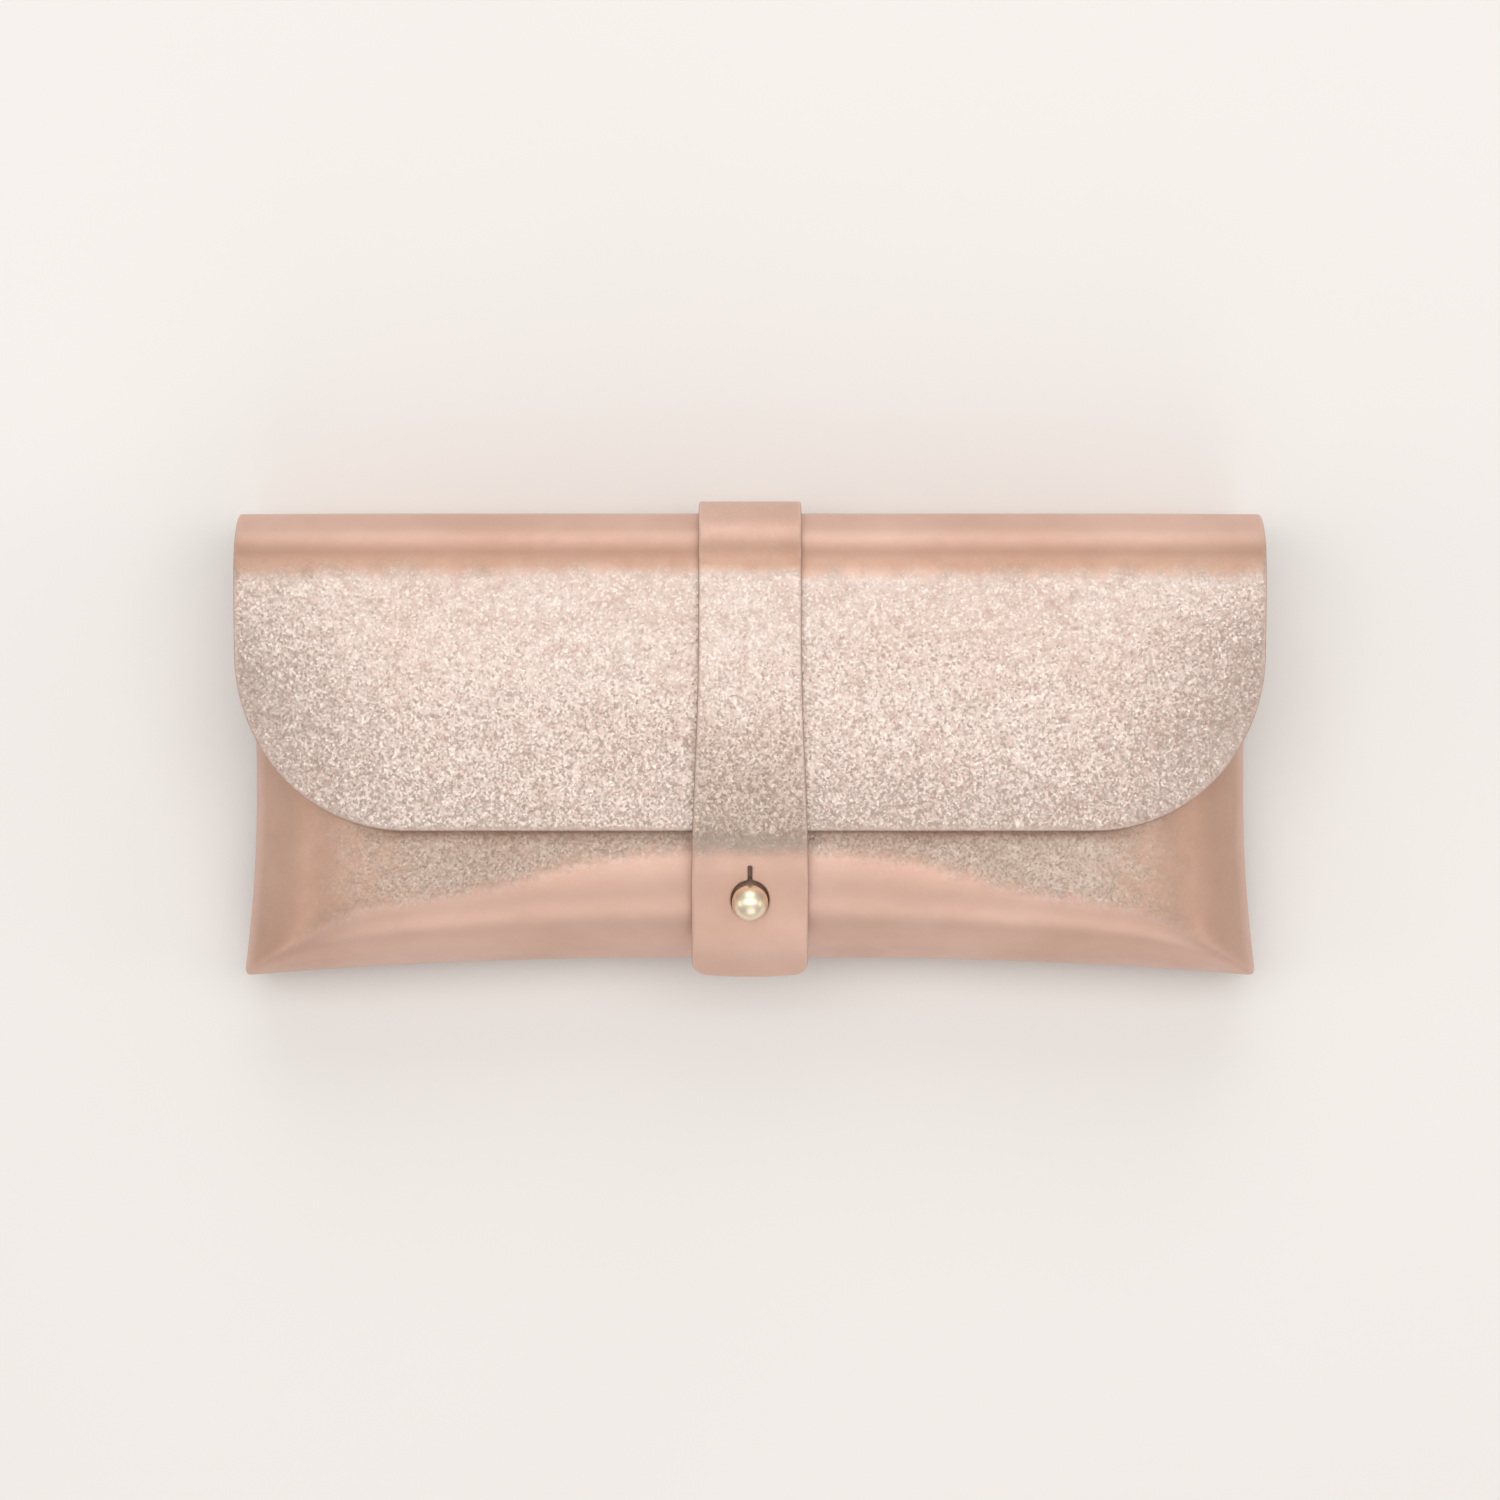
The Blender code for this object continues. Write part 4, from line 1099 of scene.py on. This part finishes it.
def strap_outline(inset):
    """The front run in (across, along), from the cover's top to the tip's round corners."""
    end = TIP_AT - inset
    sides = np.arange(COVER_AT, end - TIP_R - TIP_BOW, 0.5)
    half = strap_half(end) - inset

    def corner(sign, angles):
        return [(sign * (half - TIP_R) + TIP_R * math.cos(math.radians(a)),
                 end - TIP_R + TIP_R * math.sin(math.radians(a))) for a in angles]

    tip = corner(-1, np.linspace(180, 90, 9))
    tip += [(x, end) for x in np.linspace(-half + TIP_R, half - TIP_R, 40)[1:-1]]
    tip += corner(1, np.linspace(90, 0, 9))
    points = [(-(strap_half(along) - inset), along) for along in sides]
    points += [(x, along - TIP_BOW * (x / half) ** 2) for x, along in tip]
    points += [(strap_half(along) - inset, along) for along in sides[::-1]]
    top_half = strap_half(COVER_AT) - inset
    points += [(x, COVER_AT) for x in np.linspace(top_half, -top_half, 26)[1:-1]]
    return points


def keyhole_size(inset):
    """Radius of the hole and half width of the slit."""
    return HOLE_R + inset * 0.5, SLIT_HALF + inset * 0.3


def from_keyhole(x, along, inset=0.0):
    """Distance from the keyhole, negative within it."""
    hole_r, slit_half = keyhole_size(inset)
    back = HOLE_AT - along
    slit = np.hypot(x, back - np.clip(back, 0, SLIT_LEN - SLIT_HALF)) - slit_half
    return np.minimum(np.hypot(x, along - HOLE_AT) - hole_r, slit)


def outside_strap(x, along, inset):
    """Distance outside the front run's outline or inside its keyhole."""
    end = TIP_AT - inset
    half = strap_half(along) - inset
    bowed = along + TIP_BOW * (x / half) ** 2
    over_x, over_y = np.abs(x) - (half - TIP_R), bowed - (end - TIP_R)
    corner = np.hypot(np.maximum(over_x, 0), np.maximum(over_y, 0)) - TIP_R
    box = np.where((over_x > 0) & (over_y > 0), corner, np.maximum(np.abs(x) - half, bowed - end))
    return np.maximum(box, -from_keyhole(x, along, inset))


def keyhole_loop(inset):
    hole_r, slit_half = keyhole_size(inset)
    gap = math.asin(slit_half / hole_r)
    points = [(hole_r * math.cos(a), HOLE_AT + hole_r * math.sin(a))
              for a in np.linspace(-math.pi / 2 + gap, 1.5 * math.pi - gap, 56)]
    base = HOLE_AT - hole_r * math.cos(gap)
    end = HOLE_AT - (SLIT_LEN - SLIT_HALF)
    points += [(-slit_half, along) for along in np.linspace(base, end, 8)[1:]]
    points += [(slit_half * math.cos(math.radians(a)), end + slit_half * math.sin(math.radians(a)))
               for a in np.linspace(180, 360, 9)[1:-1]]
    points += [(slit_half, along) for along in np.linspace(end, base, 8)[:-1]]
    return points


def front_run(layer):
    low, high = layer.band

    def grain(x, along):
        return (0.03 + 0.95 * rise(along, start=COVER_AT - 0.4, over=3.4)
                * (1 - rise(along, start=STUD_AT - 12.2, over=5.0)))

    # painted shade: the fold's, and more where the strap bends down towards the flap's edge
    def tone(x, along):
        darkening = (rise(along, start=STUD_AT - 37.0, over=24.0)
                * (1 - rise(along, start=STUD_AT - 10.2, over=2.8)))
        return painted_fold_shade(strap_y(along), x) + 0.75 * darkening

    ob = plate(f"strap_front_{layer.name}", strap_outline(layer.inset),
               keyhole_loop(layer.inset), 0.8,
               lambda x, along, depth: strap_xyz(x, along, high - depth), high - low,
               layer.front_r, lambda x, along: outside_strap(x, along, layer.inset),
               lambda x, along: (x + 700, along), grain, layer.material, tone,
               cut=lambda x, along: 1 - rise(from_keyhole(x, along), start=0.03, over=0.22))
    close_cut(ob)
    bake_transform(ob)
    stands_for(ob, layer.slot, "strap_front" + layer.tail)


def close_cut(ob):
    """Closes the straight cut end of a plate, where its two faces are apart."""
    bm = bmesh.new()
    bm.from_mesh(ob.data)
    bmesh.ops.contextual_create(bm, geom=[edge for edge in bm.edges if edge.is_boundary])
    faces_out(bm)
    bm.to_mesh(ob.data)
    bm.free()
    ob.data.set_sharp_from_angle(angle=math.radians(50))


def build_strap():
    for layer in STRAP_LAYERS:
        strap_strip("back", layer, layer.start, CUT_AT, True, ["strap_back_leg"])
    for layer in STRAP_LAYERS:
        strap_strip("fold", layer, CUT_AT, COVER_AT, False, ["strap_spine_run", "strap_flap_run"])
    for layer in STRAP_LAYERS:
        front_run(layer)


# ------------------------------------------------------------------ stitches
STITCH_FILL = 0.8       # part of the pitch that a stitch covers


def stitches(name, centres, normal, radius, node):
    """A run of sewn stitches: each a short bowed thread that dips into the hide at its ends."""
    verts, faces = [], []
    sides, rings = 8, 9
    centres = [Vector(centre) for centre in centres]
    normal = Vector(normal)
    for a, b in zip(centres, centres[1:]):
        along = b - a
        gap = along.length * (1 - STITCH_FILL) / 2
        along.normalize()
        start, end = a + along * gap, b - along * gap
        side = along.cross(normal).normalized()
        base = len(verts)
        for j in range(rings):
            part = j / (rings - 1)
            bow = math.sin(math.pi * part)
            centre = start.lerp(end, part) + normal * (radius * (-1.1 + 1.75 * bow ** 0.6))
            ring_r = radius * (0.62 + 0.38 * bow ** 0.5)
            for k in range(sides):
                angle = 2 * math.pi * k / sides
                verts.append(centre + side * (ring_r * math.cos(angle))
                             + normal * (ring_r * 0.9 * math.sin(angle)))
        for j in range(rings - 1):
            low, high = base + j * sides, base + (j + 1) * sides
            for k in range(sides):
                k2 = (k + 1) % sides
                faces.append((low + k, low + k2, high + k2, high + k))
        faces.append(tuple(base + k for k in range(sides))[::-1])
        faces.append(tuple(base + (rings - 1) * sides + k for k in range(sides)))
    ob = make_object(name, verts, faces, THREAD, sharp=60)
    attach(ob, "pocket")
    stands_for(ob, "thread", node)


def build_stitches():
    side = np.linspace(-0.955, 0.955, 58)
    mouth = front_xyz(side, np.full_like(side, 1 - 3.0 / FRONT_LEN), np.zeros_like(side))
    stitches("mouth_stitches", mouth, (0, 0, 1), 0.24, "mouth_thread")
    # a box through the strap's end on the back
    half, low, high, z, per_side = 6.2, STRAP_END_Y + 2.6, STRAP_END_Y + 15.0, 0.44, 5
    corners = [(-half, low), (half, low), (half, high), (-half, high)]
    loop = []
    for a, b in zip(corners, corners[1:] + corners[:1]):
        for t in np.linspace(0, 1, per_side + 1)[:-1]:
            loop.append((a[0] + (b[0] - a[0]) * t, a[1] + (b[1] - a[1]) * t, z))
    loop.append(loop[0])
    stitches("anchor_stitches", loop, (0, 0, -1), 0.22, "strap_anchor_thread")


build_back()
build_back_lining()
STUD_PLACE, STUD_TILT = stud_place()
hole_tool = lathe_object("tool_hole", [(0, 4), (1.75, 4), (1.75, -9), (0, -9)], 48, None,
                         STUD_TILT, STUD_TILT)
build_front(hole_tool)
bpy.data.objects.remove(hole_tool)
build_flap()
build_stud()
build_strap()
build_stitches()

# CAD nodes that stay on show
for node, material in (("back_board", BOARD_MAT), ("front_board", BOARD_MAT),
                       ("seam_thread", THREAD), ("stud_screw", GOLD), ("stud_washer", SUEDE)):
    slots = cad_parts[node].data.materials
    slots.clear()
    slots.append(material)


# ------------------------------------------------------------------ stage, light, camera
def build_floor():
    tree = Nodes("studio_floor")
    cloud = tree.noise(tree.object_place(), scale=6.0)
    base = tree.mix(tree.remap(cloud, old=(0.3, 0.7)), (0.80, 0.785, 0.765), (0.82, 0.805, 0.785))
    material = tree.finish({"Base Color": base, "Roughness": 0.85})
    bpy.ops.mesh.primitive_plane_add(size=6.0, location=(0, 0, -0.0002))
    ob = bpy.context.object
    ob.name = "floor"
    ob.data.materials.append(material)


def area(name, place, size, power, colour, target=(0, 0, 0.02), size_y=None):
    data = bpy.data.lights.new(name, "AREA")
    data.energy = power
    data.color = colour
    data.size = size
    if size_y:
        data.shape = "RECTANGLE"
        data.size_y = size_y
    ob = bpy.data.objects.new(name, data)
    ob.location = place
    aim = Vector(target) - Vector(place)
    ob.rotation_euler = aim.to_track_quat("-Z", "Y").to_euler()
    bpy.context.scene.collection.objects.link(ob)


def build_lights():
    world = bpy.data.worlds.new("studio")
    world.use_nodes = True
    background = world.node_tree.nodes["Background"]
    background.inputs["Color"].default_value = (1.0, 0.975, 0.95, 1)
    background.inputs["Strength"].default_value = 0.46
    bpy.context.scene.world = world
    area("key", (0.0, 0.15, 1.0), size=1.6, size_y=0.5, power=5.5, colour=(1.0, 0.975, 0.96))
    area("fill", (0.12, -0.95, 0.75), size=0.9, power=2.6, colour=(1.0, 0.97, 0.95))
    area("rim", (0.0, 0.95, 0.62), size=1.0, size_y=0.75, power=3.6, colour=(1.0, 0.98, 0.96),
         target=(0, 0.03, 0.02))
    for side in (-1, 1):
        area("side", (1.15 * side, -0.1, 0.55), size=0.5, power=1.2, colour=(1.0, 0.92, 0.82),
             target=(0, -0.02, 0.02))


def build_camera():
    """Looks straight down on the case."""
    data = bpy.data.cameras.new("camera")
    data.lens = 85.0
    data.sensor_width = 36.0
    data.clip_start, data.clip_end = 0.01, 20.0
    ob = bpy.data.objects.new("camera", data)
    ob.location = (0, -0.0015, 0.641)
    ob.rotation_euler = (0, 0, 0)
    bpy.context.scene.collection.objects.link(ob)
    bpy.context.scene.camera = ob


build_floor()
build_lights()
bpy.context.scene.view_settings.view_transform = "Standard"
build_camera()
